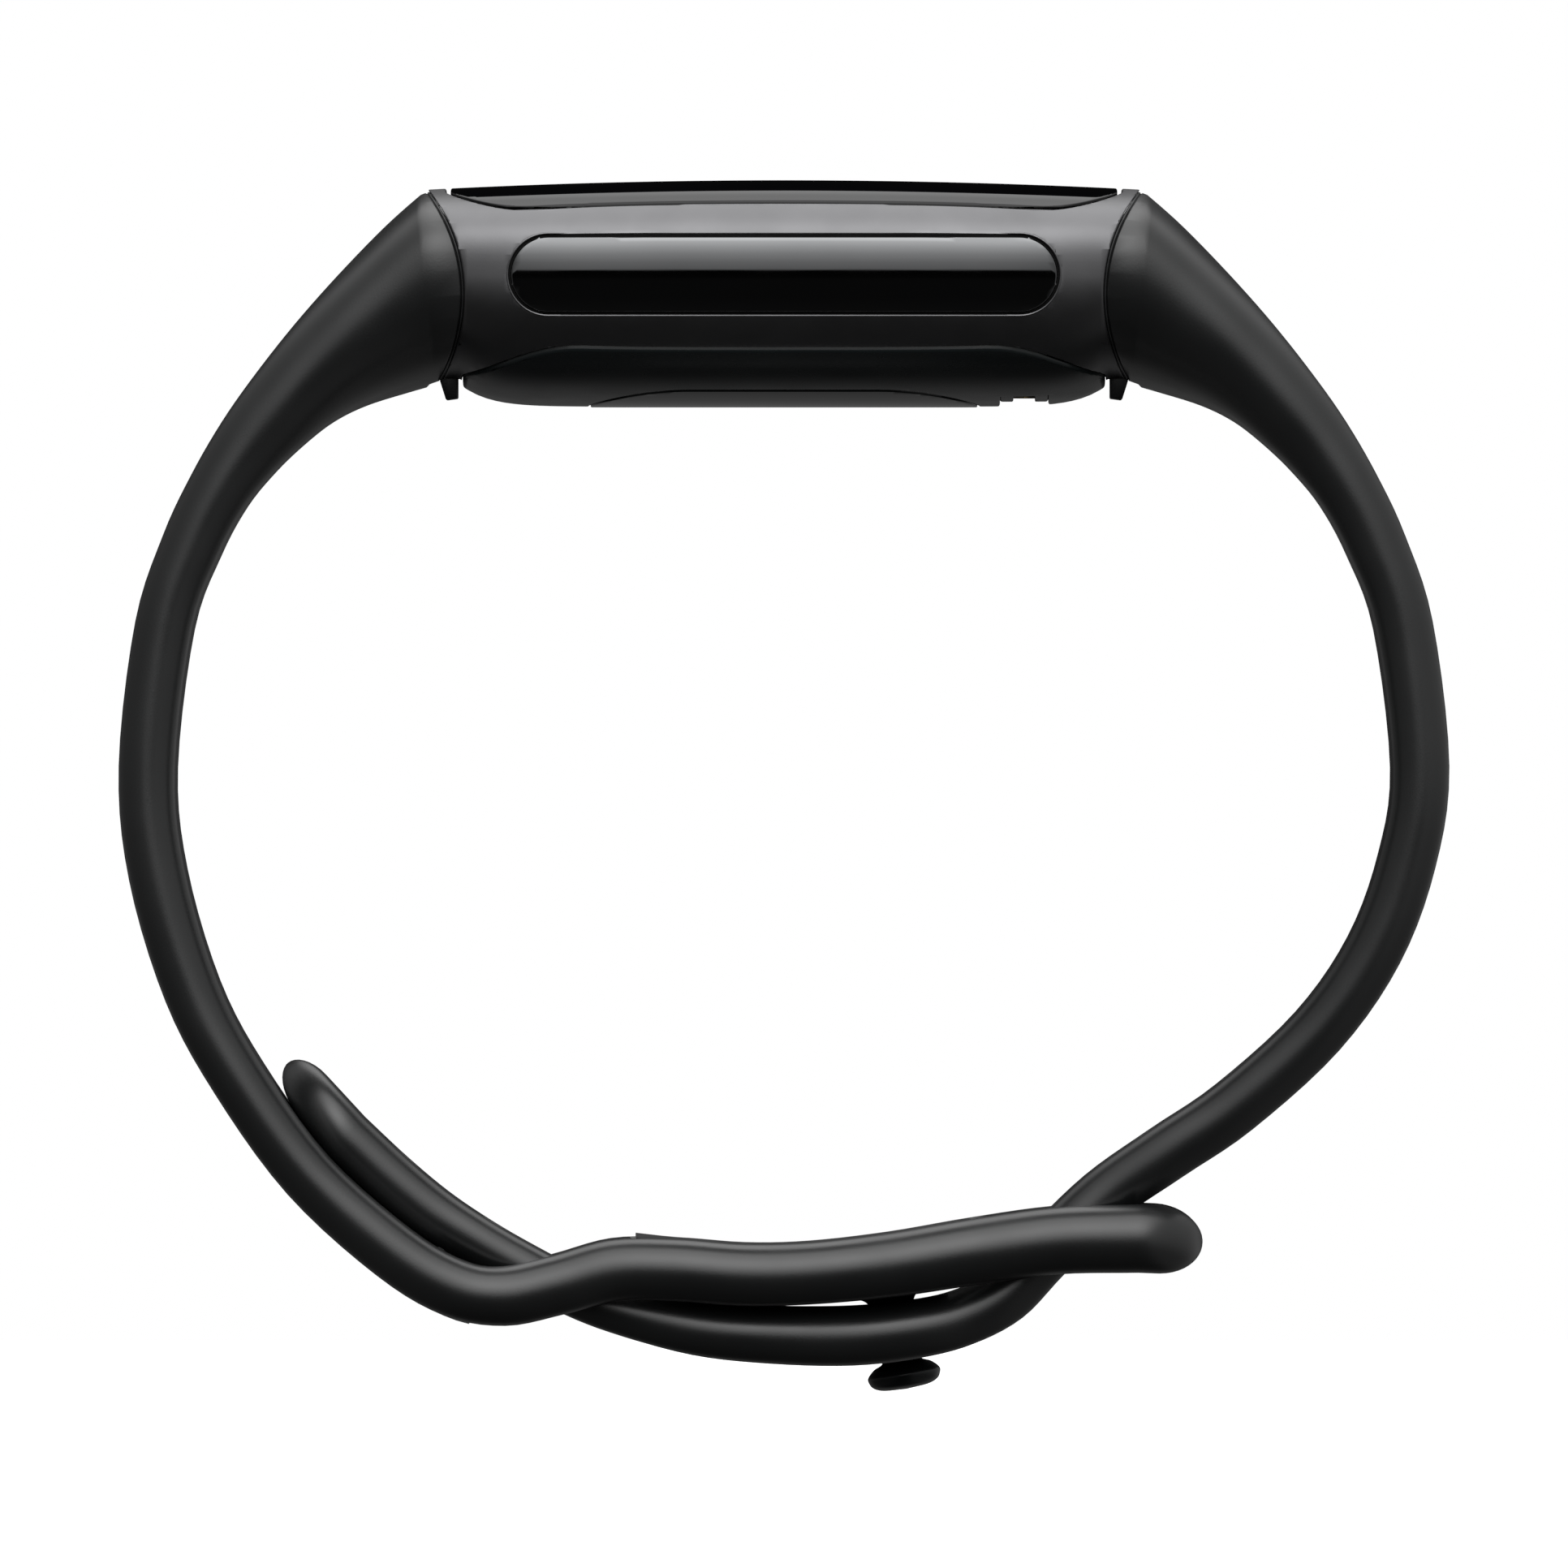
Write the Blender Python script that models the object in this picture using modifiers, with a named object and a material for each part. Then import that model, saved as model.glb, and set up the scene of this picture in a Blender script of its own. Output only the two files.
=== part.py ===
"""Slim fitness tracker on a closed peg-and-loop wristband, at its real size.

Frame: the origin is the middle of the wrist opening. +X runs towards the strap with the
holes, +Y across the band and +Z up through the display. The scene is in metres, and the
sizes below are in millimetres, which the helpers turn into metres.
"""

import math

import bmesh
import bpy
from mathutils import Matrix, Vector

MM = 0.001

# Tracker envelope: the pebble that the glass, housing and rear cover are cut from.
CROWN_Z = 32.33
WIDEST_Z = 27.7
BACK_Z = 21.1
HALF_WIDTH = 11.4
CROWN_RADIUS = 340.0
END_NARROWING = 0.9
BACK_RISE = 1.1
BACK_RISE_AT = 16.25
BACK_RISE_POWER = 11.6
UPPER_POWER = 3.3
LOWER_POWER = 2.4
ENVELOPE_END = 19.0
SEAM_TOP = (17.9, 31.9)
SEAM_WAIST = (16.0, 27.0)
SEAM_FOOT = (17.3, 22.0)
FIT_GAP = 0.1
RUN_GAP = 0.2

# Outlines on the envelope: half length, half width and corner radius.
GLASS_OUTLINE = (16.8, 9.85, 4.3)
COVER_OUTLINE = (16.1, 10.3, 6.0)
CAVITY_OUTLINE = (13.1, 9.3, 3.0)
GLASS_UNDERSIDE = 30.85
COVER_TOP = 24.9
COVER_FLOOR = 22.45
COVER_STEP = 23.7

# Side electrode: a pill-shaped inlay on each side wall.
PILL_HALF_LENGTH = 13.65
PILL_HALF_HEIGHT = 1.86
PILL_Z = 27.53
PILL_INNER_Y = 10.25

# Sensor window and charging recess in the back.
WINDOW_OUTLINE = (9.7, 6.4, 5.0)
WINDOW_TOP = 22.05
CHARGE_X = 12.05
CHARGE_HALF_LENGTH = 0.6
CHARGE_ROOF = 21.55

# Strap connector: its plug, the socket that it fills and the release button.
PLUG_HALF_WIDTH = 7.6
PLUG_LOW, PLUG_HIGH = 25.1, 29.3
PLUG_TIP_X = 13.9
PLUG_ROOT_X = 19.4
BUTTON_X = (16.35, 17.25)
BUTTON_HALF_WIDTH = 3.4
BUTTON_Z = (21.3, 23.35)
BUTTON_TRAVEL = 0.6

# Upper strap, shared by both straps and mirrored for the one at -X. Each station has the
# outer point (x, z), the inner point (x, z) and the half width.
ROOT_STATIONS = (
    ((15.6, 32.3), (14.2, 22.35), 10.75),
    ((17.95, 31.75), (17.0, 22.15), 10.5),
    ((20.04, 29.98), (18.7, 21.72), 10.3),
    ((22.4, 27.54), (20.94, 21.02), 10.1),
    ((24.55, 25.09), (22.6, 20.2), 9.9),
    ((26.45, 22.65), (24.1, 19.05), 9.75),
    ((28.15, 20.2), (25.5, 17.75), 9.6),
    ((29.7, 17.5), (26.95, 16.0), 9.5),
    ((31.1, 14.5), (28.3, 13.5), 9.4),
)

# Straps below their upper stations: centre (x, z), thickness and half width.
LOOP_STRAP_LINE = (
    (-31.06, 10.0, 2.88, 9.3),
    (-31.9, 2.9, 2.84, 9.2),
    (-31.4, -2.5, 2.86, 9.2),
    (-29.64, -8.31, 2.88, 9.2),
    (-27.3, -12.7, 2.88, 9.25),
    (-23.8, -17.53, 2.88, 9.3),
    (-19.53, -21.42, 2.9, 9.4),
    (-16.5, -23.2, 2.95, 9.4),
    (-14.0, -23.6, 3.0, 9.4),
    (-11.3, -23.05, 3.0, 9.4),
    (-8.5, -22.32, 3.08, 9.4),
    (-5.5, -22.3, 3.1, 9.4),
    (-2.0, -22.5, 3.1, 9.4),
    (1.4, -22.47, 3.1, 9.4),
    (5.46, -22.05, 3.2, 9.4),
    (9.53, -21.4, 3.3, 9.4),
    (13.6, -20.85, 3.35, 9.4),
    (17.7, -20.72, 3.45, 9.4),
)
LOOP_STRAP_TIP = (20.98, -20.85)
HOLE_STRAP_LINE = (
    (31.06, 10.0, 2.88, 9.3),
    (31.9, 2.9, 2.84, 9.2),
    (31.25, -1.8, 2.84, 9.0),
    (29.6, -6.27, 2.84, 8.7),
    (26.77, -10.35, 2.84, 8.3),
    (22.6, -14.15, 2.84, 7.8),
    (19.2, -16.46, 2.84, 7.4),
    (16.0, -18.7, 2.8, 7.0),
    (13.1, -21.5, 2.8, 7.0),
    (11.1, -23.6, 2.8, 7.0),
    (8.97, -24.72, 2.8, 7.0),
    (6.6, -25.35, 2.8, 7.0),
    (3.4, -25.72, 2.8, 7.0),
    (-0.55, -25.72, 2.6, 7.0),
    (-4.4, -25.4, 2.4, 7.0),
    (-8.35, -24.3, 2.4, 7.0),
    (-10.9, -23.3, 2.35, 7.0),
    (-13.42, -21.97, 2.3, 7.0),
    (-15.5, -20.75, 2.3, 7.0),
    (-17.55, -19.28, 2.3, 7.0),
    (-19.65, -17.5, 2.3, 7.0),
    (-21.7, -15.45, 2.3, 7.0),
)
HOLE_STRAP_TIP = (-24.95, -11.95)
BAND_THICKNESS = 2.85
ROOT_THICKNESS = 9.6
SPAN_STEPS = 2
LOOP_TIP_CORNER = 4.5
HOLE_TIP_CORNER = 6.3

# Slots through the loop strap, as outlines in the XZ plane, and their half width.
SLOT_HALF_WIDTH = 7.35
END_SLOT = ((9.4, -17.6), (19.1, -17.6), (16.3, -24.2), (7.4, -24.2))
TUCK_SLOT = ((-4.9, -24.9), (-8.2, -19.6), (-18.7, -19.6), (-12.2, -25.9))

# Where the straps are divided for their flexing.
SPLIT_Z = 2.9
TAIL_HINGE = (-12.87, -20.94)
TAIL_CUT_FOOT = (-14.0, -23.0)
SPLIT_GAP = 0.3

# Clasp peg, along an axis square to the straps, and the row of holes.
PEG_HEAD = Vector((6.15, 0.0, -28.32))
PEG_TILT = math.radians(9.8)
HOLE_RADIUS = 1.2
HOLE_PITCH = 5.5
HOLES_TOWARDS_TIP = 5
HOLES_TOWARDS_TRACKER = 4


# ---------------------------------------------------------------- scene helpers


def clear_scene():
    """Removes what the startup file put in the scene."""
    for obj in list(bpy.data.objects):
        bpy.data.objects.remove(obj)


def make_collection(name):
    """A new collection in the scene."""
    made = bpy.data.collections.new(name)
    bpy.context.scene.collection.children.link(made)
    return made


def make_material(name, colour, roughness, metallic=0.0):
    """A Principled BSDF material."""
    made = bpy.data.materials.new(name)
    made.use_nodes = True
    shader = made.node_tree.nodes["Principled BSDF"]
    shader.inputs["Base Color"].default_value = (*colour, 1.0)
    shader.inputs["Roughness"].default_value = roughness
    shader.inputs["Metallic"].default_value = metallic
    return made


def finish(name, bm, material=None):
    """Turns a bmesh into an object of the tracker's collection."""
    bmesh.ops.recalc_face_normals(bm, faces=bm.faces)
    mesh = bpy.data.meshes.new(name)
    bm.to_mesh(mesh)
    bm.free()
    mesh.shade_smooth()
    mesh.set_sharp_from_angle(angle=math.radians(35))
    obj = bpy.data.objects.new(name, mesh)
    (PARTS if material else CUTTERS).objects.link(obj)
    if material:
        mesh.materials.append(material)
    else:
        obj.hide_render = True
        obj.display_type = "WIRE"
    return obj


def combine(target, other, operation):
    """Applies a Boolean between two objects and removes the second one."""
    modifier = target.modifiers.new(operation.title(), "BOOLEAN")
    modifier.operation = operation
    modifier.object = other
    bpy.context.view_layer.update()
    graph = bpy.context.evaluated_depsgraph_get()
    mesh = bpy.data.meshes.new_from_object(target.evaluated_get(graph))
    target.modifiers.clear()
    target.data = mesh
    mesh.name = target.name
    bpy.data.objects.remove(other)
    return target


def cut(target, *cutters):
    """Takes each cutter away from the target."""
    for cutter in cutters:
        combine(target, cutter, "DIFFERENCE")
    return target


def keep(target, *shapes):
    """Keeps what the target shares with each shape."""
    for shape in shapes:
        combine(target, shape, "INTERSECT")
    return target


# ---------------------------------------------------------------- basic shapes


def box(name, low, high, material=None, edge=0.0):
    """A box between two corners, with its edges rounded by edge."""
    bm = bmesh.new()
    bmesh.ops.create_cube(bm, size=1.0)
    low, high = Vector(low) * MM, Vector(high) * MM
    bmesh.ops.scale(bm, vec=high - low, verts=bm.verts)
    bmesh.ops.translate(bm, vec=(low + high) / 2, verts=bm.verts)
    if edge:
        bmesh.ops.bevel(
            bm, geom=bm.edges[:], offset=edge * MM, segments=1, profile=0.5,
            affect="EDGES", material=-1,
        )
    return finish(name, bm, material)


def plate(name, outline, low, high, material=None, centre=(0.0, 0.0), segments=6):
    """A rounded rectangle (half length, half width, corner radius) between two heights."""
    half_x, half_y, corner = outline
    bm = bmesh.new()
    bmesh.ops.create_cube(bm, size=2.0)
    size = Vector((half_x, half_y, (high - low) / 2)) * MM
    bmesh.ops.scale(bm, vec=size, verts=bm.verts)
    upright = [e for e in bm.edges if abs(e.verts[0].co.z - e.verts[1].co.z) > size.z]
    bmesh.ops.bevel(
        bm, geom=upright, offset=corner * MM, segments=segments, profile=0.5,
        affect="EDGES", material=-1,
    )
    place = Vector((*centre, (low + high) / 2)) * MM
    bmesh.ops.translate(bm, vec=place, verts=bm.verts)
    return finish(name, bm, material)


def grown(outline, by):
    """A rounded outline made larger by a distance on every side."""
    return tuple(value + by for value in outline)


def frame(name, outline, wall, low, high, material, **options):
    """A closed ring: a plate less a smaller plate."""
    ring = plate(name, outline, low, high, material, **options)
    hole = plate("hole", grown(outline, -wall), low - 1, high + 1, **options)
    return cut(ring, hole)


def rod(name, start, end, radius, material=None, sides=24, end_radius=None):
    """A round rod or cone between two points."""
    start, end = Vector(start) * MM, Vector(end) * MM
    bm = bmesh.new()
    bmesh.ops.create_cone(
        bm, cap_ends=True, segments=sides, radius1=radius * MM,
        radius2=(radius if end_radius is None else end_radius) * MM,
        depth=(end - start).length,
    )
    turn = (end - start).to_track_quat("Z", "Y").to_matrix().to_4x4()
    bmesh.ops.transform(bm, matrix=Matrix.Translation((start + end) / 2) @ turn, verts=bm.verts)
    return finish(name, bm, material)


def side_prism(name, outline, low_y, high_y, material=None):
    """An outline in the XZ plane, drawn out along Y."""
    bm = bmesh.new()
    corners = [bm.verts.new(Vector((x, low_y, z)) * MM) for x, z in outline]
    face = bm.faces.new(corners)
    drawn = bmesh.ops.extrude_face_region(bm, geom=[face])["geom"]
    moved = [v for v in drawn if isinstance(v, bmesh.types.BMVert)]
    bmesh.ops.translate(bm, vec=(0, (high_y - low_y) * MM, 0), verts=moved)
    return finish(name, bm, material)


def loft(name, sections, material=None):
    """A skin through rings of points, closed by a cap at each end."""
    bm = bmesh.new()
    rings = [[bm.verts.new(point * MM) for point in ring] for ring in sections]
    count = len(rings[0])
    for ring, after in zip(rings, rings[1:]):
        for i in range(count):
            j = (i + 1) % count
            bm.faces.new((ring[i], ring[j], after[j], after[i]))
    bm.faces.new(rings[0])
    bm.faces.new(reversed(rings[-1]))
    return finish(name, bm, material)


def turned(name, profile, place, material, sides=20):
    """A closed profile of (radius, height) points, outer side first, turned about Z by a Screw."""
    bm = bmesh.new()
    closed = profile[0] == profile[-1]
    points = [bm.verts.new((radius * MM, 0, height * MM)) for radius, height in profile[closed:]]
    for start, end in zip(points, points[1:]):
        bm.edges.new((start, end))
    if closed:
        bm.edges.new((points[-1], points[0]))
    mesh = bpy.data.meshes.new(name)
    bm.to_mesh(mesh)
    bm.free()
    obj = bpy.data.objects.new(name, mesh)
    PARTS.objects.link(obj)
    screw = obj.modifiers.new("Turn", "SCREW")
    screw.steps = screw.render_steps = sides
    screw.use_merge_vertices = True
    screw.merge_threshold = 0.00001
    screw.use_smooth_shade = True
    mesh.materials.append(material)
    obj.matrix_world = place
    return obj


# ---------------------------------------------------------------- tracker envelope


def half_ring(half_width, height, power, angles):
    """Points (y, z) of a superellipse's half, from +Y round to -Y."""
    ring = []
    for angle in angles:
        c, s = math.cos(angle), math.sin(angle)
        y = half_width * math.copysign(abs(c) ** (2 / power), c)
        ring.append((y, height * s ** (2 / power)))
    return ring


def envelope_section(x, steps=14):
    """The envelope's ring of points at x: a squarer upper half on a rounder lower half."""
    half = HALF_WIDTH - END_NARROWING * (abs(x) / SEAM_TOP[0]) ** 4
    top = CROWN_Z - x * x / (2 * CROWN_RADIUS) - WIDEST_Z
    rise = BACK_RISE * min(1.0, abs(x) / BACK_RISE_AT) ** BACK_RISE_POWER
    bottom = WIDEST_Z - BACK_Z - rise
    angles = [math.pi * i / steps for i in range(steps)]
    upper = half_ring(half, top, UPPER_POWER, angles)
    lower = half_ring(half, bottom, LOWER_POWER, angles)
    ring = [Vector((x, y, WIDEST_Z + z)) for y, z in upper]
    return ring + [Vector((x, -y, WIDEST_Z - z)) for y, z in lower]


def envelope(name, material=None):
    """The whole tracker pebble as one solid."""
    places = (0.0, 4.0, 8.0, 10.5, 12.5, 14.0, 15.2, 16.25, 17.5, ENVELOPE_END)
    stations = [-x for x in reversed(places[1:])] + list(places)
    return loft(name, [envelope_section(x) for x in stations], material)


def seam_arc(side, shift=0.0, steps=8):
    """Points (x, z) of the arc where a strap meets the housing, from top to foot."""
    (x1, z1), (x2, z2), (x3, z3) = SEAM_TOP, SEAM_WAIST, SEAM_FOOT
    denominator = 2 * (x1 * (z2 - z3) + x2 * (z3 - z1) + x3 * (z1 - z2))
    a, b, c = x1 * x1 + z1 * z1, x2 * x2 + z2 * z2, x3 * x3 + z3 * z3
    centre_x = (a * (z2 - z3) + b * (z3 - z1) + c * (z1 - z2)) / denominator
    centre_z = (a * (x3 - x2) + b * (x1 - x3) + c * (x2 - x1)) / denominator
    radius = math.hypot(x1 - centre_x, z1 - centre_z) - shift
    reach = math.asin(7.0 / radius)
    angles = [reach - 2 * reach * i / steps for i in range(steps + 1)]
    return [
        (side * (centre_x - radius * math.cos(t)), centre_z + radius * math.sin(t))
        for t in angles
    ]


def between_seams(name, shift=0.0):
    """The block of space between the two seam arcs, moved outwards by shift."""
    left = seam_arc(-1, shift)
    right = seam_arc(1, shift)
    return side_prism(name, left[::-1] + right, -14.0, 14.0)


def pill_outline(by=0.0, segments=10):
    """The side electrode's outline in the XZ plane, made larger by a distance."""
    radius = PILL_HALF_HEIGHT + by
    reach = PILL_HALF_LENGTH - PILL_HALF_HEIGHT
    outline = []
    for side, start in ((1, -math.pi / 2), (-1, math.pi / 2)):
        for i in range(segments + 1):
            t = start + math.pi * i / segments
            outline.append((side * reach + radius * math.cos(t), PILL_Z + radius * math.sin(t)))
    return outline


# ---------------------------------------------------------------- tracker pieces


def make_glass():
    """Cover glass with its flat underside, and the bonding ring below it."""
    glass = envelope("cover_glass", GLASS)
    keep(glass, plate("outline", GLASS_OUTLINE, GLASS_UNDERSIDE, CROWN_Z + 1))
    frame("glass_adhesive", (16.4, 9.7, 4.1), 0.35, GLASS_UNDERSIDE - 0.3, GLASS_UNDERSIDE - FIT_GAP, FOAM)


def make_housing():
    """Midframe: a tube cut from the envelope, open at the top and the bottom."""
    housing = envelope("housing", ALUMINIUM)
    keep(housing, between_seams("seams"))
    cut(
        housing,
        plate("glass_seat", grown(GLASS_OUTLINE, FIT_GAP), GLASS_UNDERSIDE - 0.45, CROWN_Z + 1),
        plate("cover_seat", grown(COVER_OUTLINE, FIT_GAP), BACK_Z - 1, COVER_TOP + FIT_GAP),
        plate("cavity", CAVITY_OUTLINE, BACK_Z - 1, CROWN_Z + 1),
    )
    for side in (-1, 1):
        pocket = pill_outline(0.35)
        cut(housing, side_prism("pill_pocket", pocket, *sorted((side * 10.0, side * 13.0))))
        cut(
            housing,
            box(
                "socket",
                (min(side * 13.7, side * 19), -PLUG_HALF_WIDTH - RUN_GAP, PLUG_LOW - RUN_GAP),
                (max(side * 13.7, side * 19), PLUG_HALF_WIDTH + RUN_GAP, PLUG_HIGH + RUN_GAP),
            ),
            box(
                "button_notch",
                (min(side * 16.15, side * 19), -BUTTON_HALF_WIDTH - RUN_GAP, BACK_Z - 1),
                (max(side * 16.15, side * 19), BUTTON_HALF_WIDTH + RUN_GAP, PLUG_LOW),
            ),
        )


def make_side_electrodes():
    """Polished inlay and its gasket on each side wall."""
    for side, word in ((-1, "near"), (1, "far")):
        inner, outer = side * PILL_INNER_Y, side * 13.0
        span = sorted((inner, outer))
        inlay = envelope("side_electrode_" + word, STEEL)
        keep(inlay, side_prism("pill", pill_outline(), *span))
        gasket = envelope("electrode_gasket_" + word, RUBBER)
        keep(gasket, side_prism("rim", pill_outline(0.25), *span))
        cut(gasket, side_prism("pill", pill_outline(FIT_GAP), *sorted((side * 9.0, side * 14.0))))


def make_rear_cover():
    """Rear cover as a tray with its window opening, charging recess, vent hole and seal groove."""
    cover = envelope("rear_cover", PLASTIC)
    keep(cover, plate("outline", COVER_OUTLINE, BACK_Z - 1, COVER_TOP))
    cut(
        cover,
        plate("tray", (13.1, 8.5, 3.0), COVER_STEP, COVER_TOP + 1),
        plate("tray_foot", (13.1, 7.0, 3.0), COVER_FLOOR, COVER_TOP + 1),
        plate("window_seat", grown(WINDOW_OUTLINE, FIT_GAP), BACK_Z - 1, WINDOW_TOP),
        plate("light_way", (6.0, 3.4, 1.5), BACK_Z - 1, COVER_TOP + 1),
        box(
            "charging_recess",
            (CHARGE_X - CHARGE_HALF_LENGTH, -5.0, BACK_Z - 1),
            (CHARGE_X + CHARGE_HALF_LENGTH, 5.0, CHARGE_ROOF),
        ),
        rod("vent_hole", (-12.0, 0, BACK_Z - 1), (-12.0, 0, COVER_TOP + 1), 0.5, sides=12),
    )
    for side in (-1, 1):
        cut(cover, rod("pin_hole", (CHARGE_X, side * 2.3, 21), (CHARGE_X, side * 2.3, 26), 0.7, sides=12))
    groove = frame("groove", (14.1, 9.35, 3.9), 0.55, COVER_TOP - 0.5, COVER_TOP + 1, None)
    cut(cover, groove)
    frame("rear_seal", (14.0, 9.25, 3.8), 0.35, COVER_TOP - 0.42, COVER_TOP + 0.04, RUBBER)


def make_sensor():
    """Sensor window in the back, with the optical board above it."""
    window = envelope("sensor_window", GLASS)
    keep(window, plate("outline", WINDOW_OUTLINE, BACK_Z - 1, WINDOW_TOP - FIT_GAP))
    plate("sensor_board", (8.6, 4.9, 0.8), 23.35, 23.75, BOARD, segments=2)
    for side, word in ((-1, "left"), (1, "right")):
        box(f"green_led_{word}", (side * 4.4 - 0.6, -0.5, 22.75), (side * 4.4 + 0.6, 0.5, 23.3), LED)
        box(f"photodiode_{word}", (side * 1.9 - 0.9, -1.2, 22.8), (side * 1.9 + 0.9, 1.2, 23.3), CHIP)
    box("light_baffle", (-0.35, -3.1, 22.2), (0.35, 3.1, 23.3), FOAM)


def make_charging():
    """Two charging contacts in the recess, and the pressure vent."""
    for side, word in ((-1, "near"), (1, "far")):
        place = Matrix.Translation(Vector((CHARGE_X, side * 2.3, 0)) * MM)
        profile = ((0, 23.1), (0.85, 23.1), (0.85, 22.6), (0.55, 22.6), (0.55, 21.4), (0, 21.4))
        turned(f"charging_contact_{word}", profile, place, GOLD, sides=12)
    rod("pressure_vent", (-12.0, 0, 22.55), (-12.0, 0, 22.85), 0.85, FOAM, sides=12)


def make_electronics():
    """Display, boards, battery and antenna, stacked in the cavity."""
    plate("display_panel", (11.6, 7.6, 1.2), 29.95, 30.4, DISPLAY, segments=3)
    box("display_flex", (12.0, -2.0, 28.75), (12.3, 2.0, 30.3), FLEX)
    plate("main_board", (11.7, 8.6, 1.5), 28.7, 29.2, BOARD, segments=3)
    box("processor_chip", (-4.5, -3.0, 29.3), (1.5, 3.0, 29.85), CHIP)
    box("radio_module", (-10.4, -3.0, 29.3), (-5.4, 3.0, 29.85), STEEL)
    box("motion_sensor", (3.2, -1.3, 29.3), (5.8, 1.3, 29.8), CHIP)
    box("power_chip", (7.0, -1.6, 29.3), (10.0, 1.6, 29.8), CHIP)
    frame("nfc_antenna", (12.95, 9.1, 2.85), 0.55, 29.95, 30.15, FLEX)
    box("battery", (-12.0, -7.8, 25.5), (3.6, 7.8, 28.0), FOIL, edge=0.5)
    tray = plate("battery_tray", (12.3, 8.2, 2.7), 24.15, 25.3, PLASTIC, segments=4)
    cut(
        tray,
        plate("tray_hollow", (11.7, 7.6, 2.1), BACK_Z, 24.85, segments=4),
        rod("motor_seat", (8.3, 0, 23), (8.3, 0, 26), 3.9),
    )


def make_screws():
    """Four screws that hold the main board at its corners."""
    for index in range(4):
        x = 10.3 * (1 if index % 2 else -1)
        y = 7.3 * (1 if index // 2 else -1)
        place = Matrix.Translation(Vector((x, y, 0)) * MM)
        head = ((0, 29.75), (0.75, 29.75), (0.75, 29.3), (0, 29.3))
        turned(f"board_screw_{index + 1}", head, place, STEEL, sides=12)


def make_motor():
    """Coin vibration motor: an open cup, a half-disc rotor and the shaft that it turns on."""
    middle_x = 8.3

    def at(height):
        """The place on the motor's axis at a height."""
        return Vector((middle_x, 0, height))

    cup = rod("motor_case", at(25.1), at(28.4), 3.7, STEEL)
    cut(cup, rod("bore", at(25.5), at(29), 3.4))
    shaft = rod("motor_shaft", at(25.6), at(28.3), 0.3, STEEL, sides=12)
    rotor = rod("motor_rotor", at(26.0), at(27.9), 3.1, BRASS)
    cut(
        rotor,
        rod("eye", at(25), at(29), 0.4, sides=12),
        box("half", (middle_x - 4, -4, 25), (middle_x - 0.9, 4, 29)),
    )
    return shaft


# ---------------------------------------------------------------- straps


def smooth_path(points, steps=SPAN_STEPS):
    """A Catmull-Rom curve through rows of numbers, with extra rows in each span."""
    rows = [Vector(p) for p in points]
    rows = [2 * rows[0] - rows[1], *rows, 2 * rows[-1] - rows[-2]]
    path = []
    for a, b, c, d in zip(rows, rows[1:], rows[2:], rows[3:]):
        for i in range(steps):
            t = i / steps
            path.append(
                0.5 * (2 * b + (c - a) * t + (2 * a - 5 * b + 4 * c - d) * t**2
                       + (3 * b - a - 3 * c + d) * t**3)
            )
    return [*path, rows[-2]]


def strap_stations(side, line):
    """Stations (outer x, outer z, inner x, inner z, half width) of a whole strap, less its tip.

    Outer is the side away from the wrist. The line runs away from the tracker.
    """
    stations = [
        (side * outer[0], outer[1], side * inner[0], inner[1], half)
        for outer, inner, half in ROOT_STATIONS
    ]
    for index, (x, z, thickness, half) in enumerate(line):
        ahead = line[min(index + 1, len(line) - 1)]
        behind = line[max(index - 1, 0)]
        along = Vector((ahead[0] - behind[0], ahead[1] - behind[1])).normalized()
        out = Vector((-along.y, along.x)) * side * thickness / 2
        stations.append((x + out.x, z + out.y, x - out.x, z - out.y, half))
    return stations


def split_row(row):
    """(outer point, inner point, half width) of a station, as vectors."""
    outer_x, outer_z, inner_x, inner_z, half = row
    return Vector((outer_x, 0, outer_z)), Vector((inner_x, 0, inner_z)), half


def tip_rows(row, tip, corner, steps=5):
    """Stations that round a strap off towards its tip, in plan and in thickness.

    The plan corner is a quarter ellipse, as long as the last stretch and as wide as corner.
    """
    outer, inner, half = split_row(row)
    middle = (outer + inner) / 2
    reach = Vector((tip[0], 0, tip[1])) - middle
    out = (outer - inner) / 2
    rows = []
    for i in range(1, steps + 1):
        share = math.sin(0.47 * math.pi * i / steps)
        place = middle + reach * share
        thin = math.sqrt(1 - share * share)
        width = half - corner + corner * thin
        rows.append((
            place.x + out.x * thin, place.z + out.z * thin,
            place.x - out.x * thin, place.z - out.z * thin, width,
        ))
    return rows


def strap_section(row, steps=10):
    """The strap's ring of points: deep and rounded at the tracker, a full-round band beyond."""
    outer, inner, half = split_row(row)
    thickness = (outer - inner).length
    share = (thickness - BAND_THICKNESS) / (ROOT_THICKNESS - BAND_THICKNESS)
    share = min(max(share, 0.0), 1.0)
    share = share * share * (3 - 2 * share)
    depth = min(half, thickness / 2 + share * (half - thickness / 2))
    middle = inner.lerp(outer, 0.5 + 0.08 * share)
    ring = []
    for end, power in ((outer, 2 + share * (UPPER_POWER - 2)), (inner, 2 + share * (LOWER_POWER - 2))):
        side = 1 if end is outer else -1
        for i in range(steps):
            angle = math.pi * i / steps
            c, s = math.cos(angle), math.sin(angle)
            y = math.copysign(half - depth + depth * abs(c) ** (2 / power), c) if abs(c) > 1e-9 else 0.0
            ring.append(middle + (end - middle) * s ** (2 / power) + Vector((0, side * y, 0)))
    return ring


def strap_solid(name, side, line, tip, corner):
    """A whole strap as one solid, from inside the tracker's end to its tip."""
    rows = smooth_path(strap_stations(side, line))
    rows += tip_rows(rows[-1], tip, corner)
    solid = loft(name, [strap_section(row) for row in rows], SILICONE)
    return cut(solid, between_seams("seams", FIT_GAP))


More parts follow.
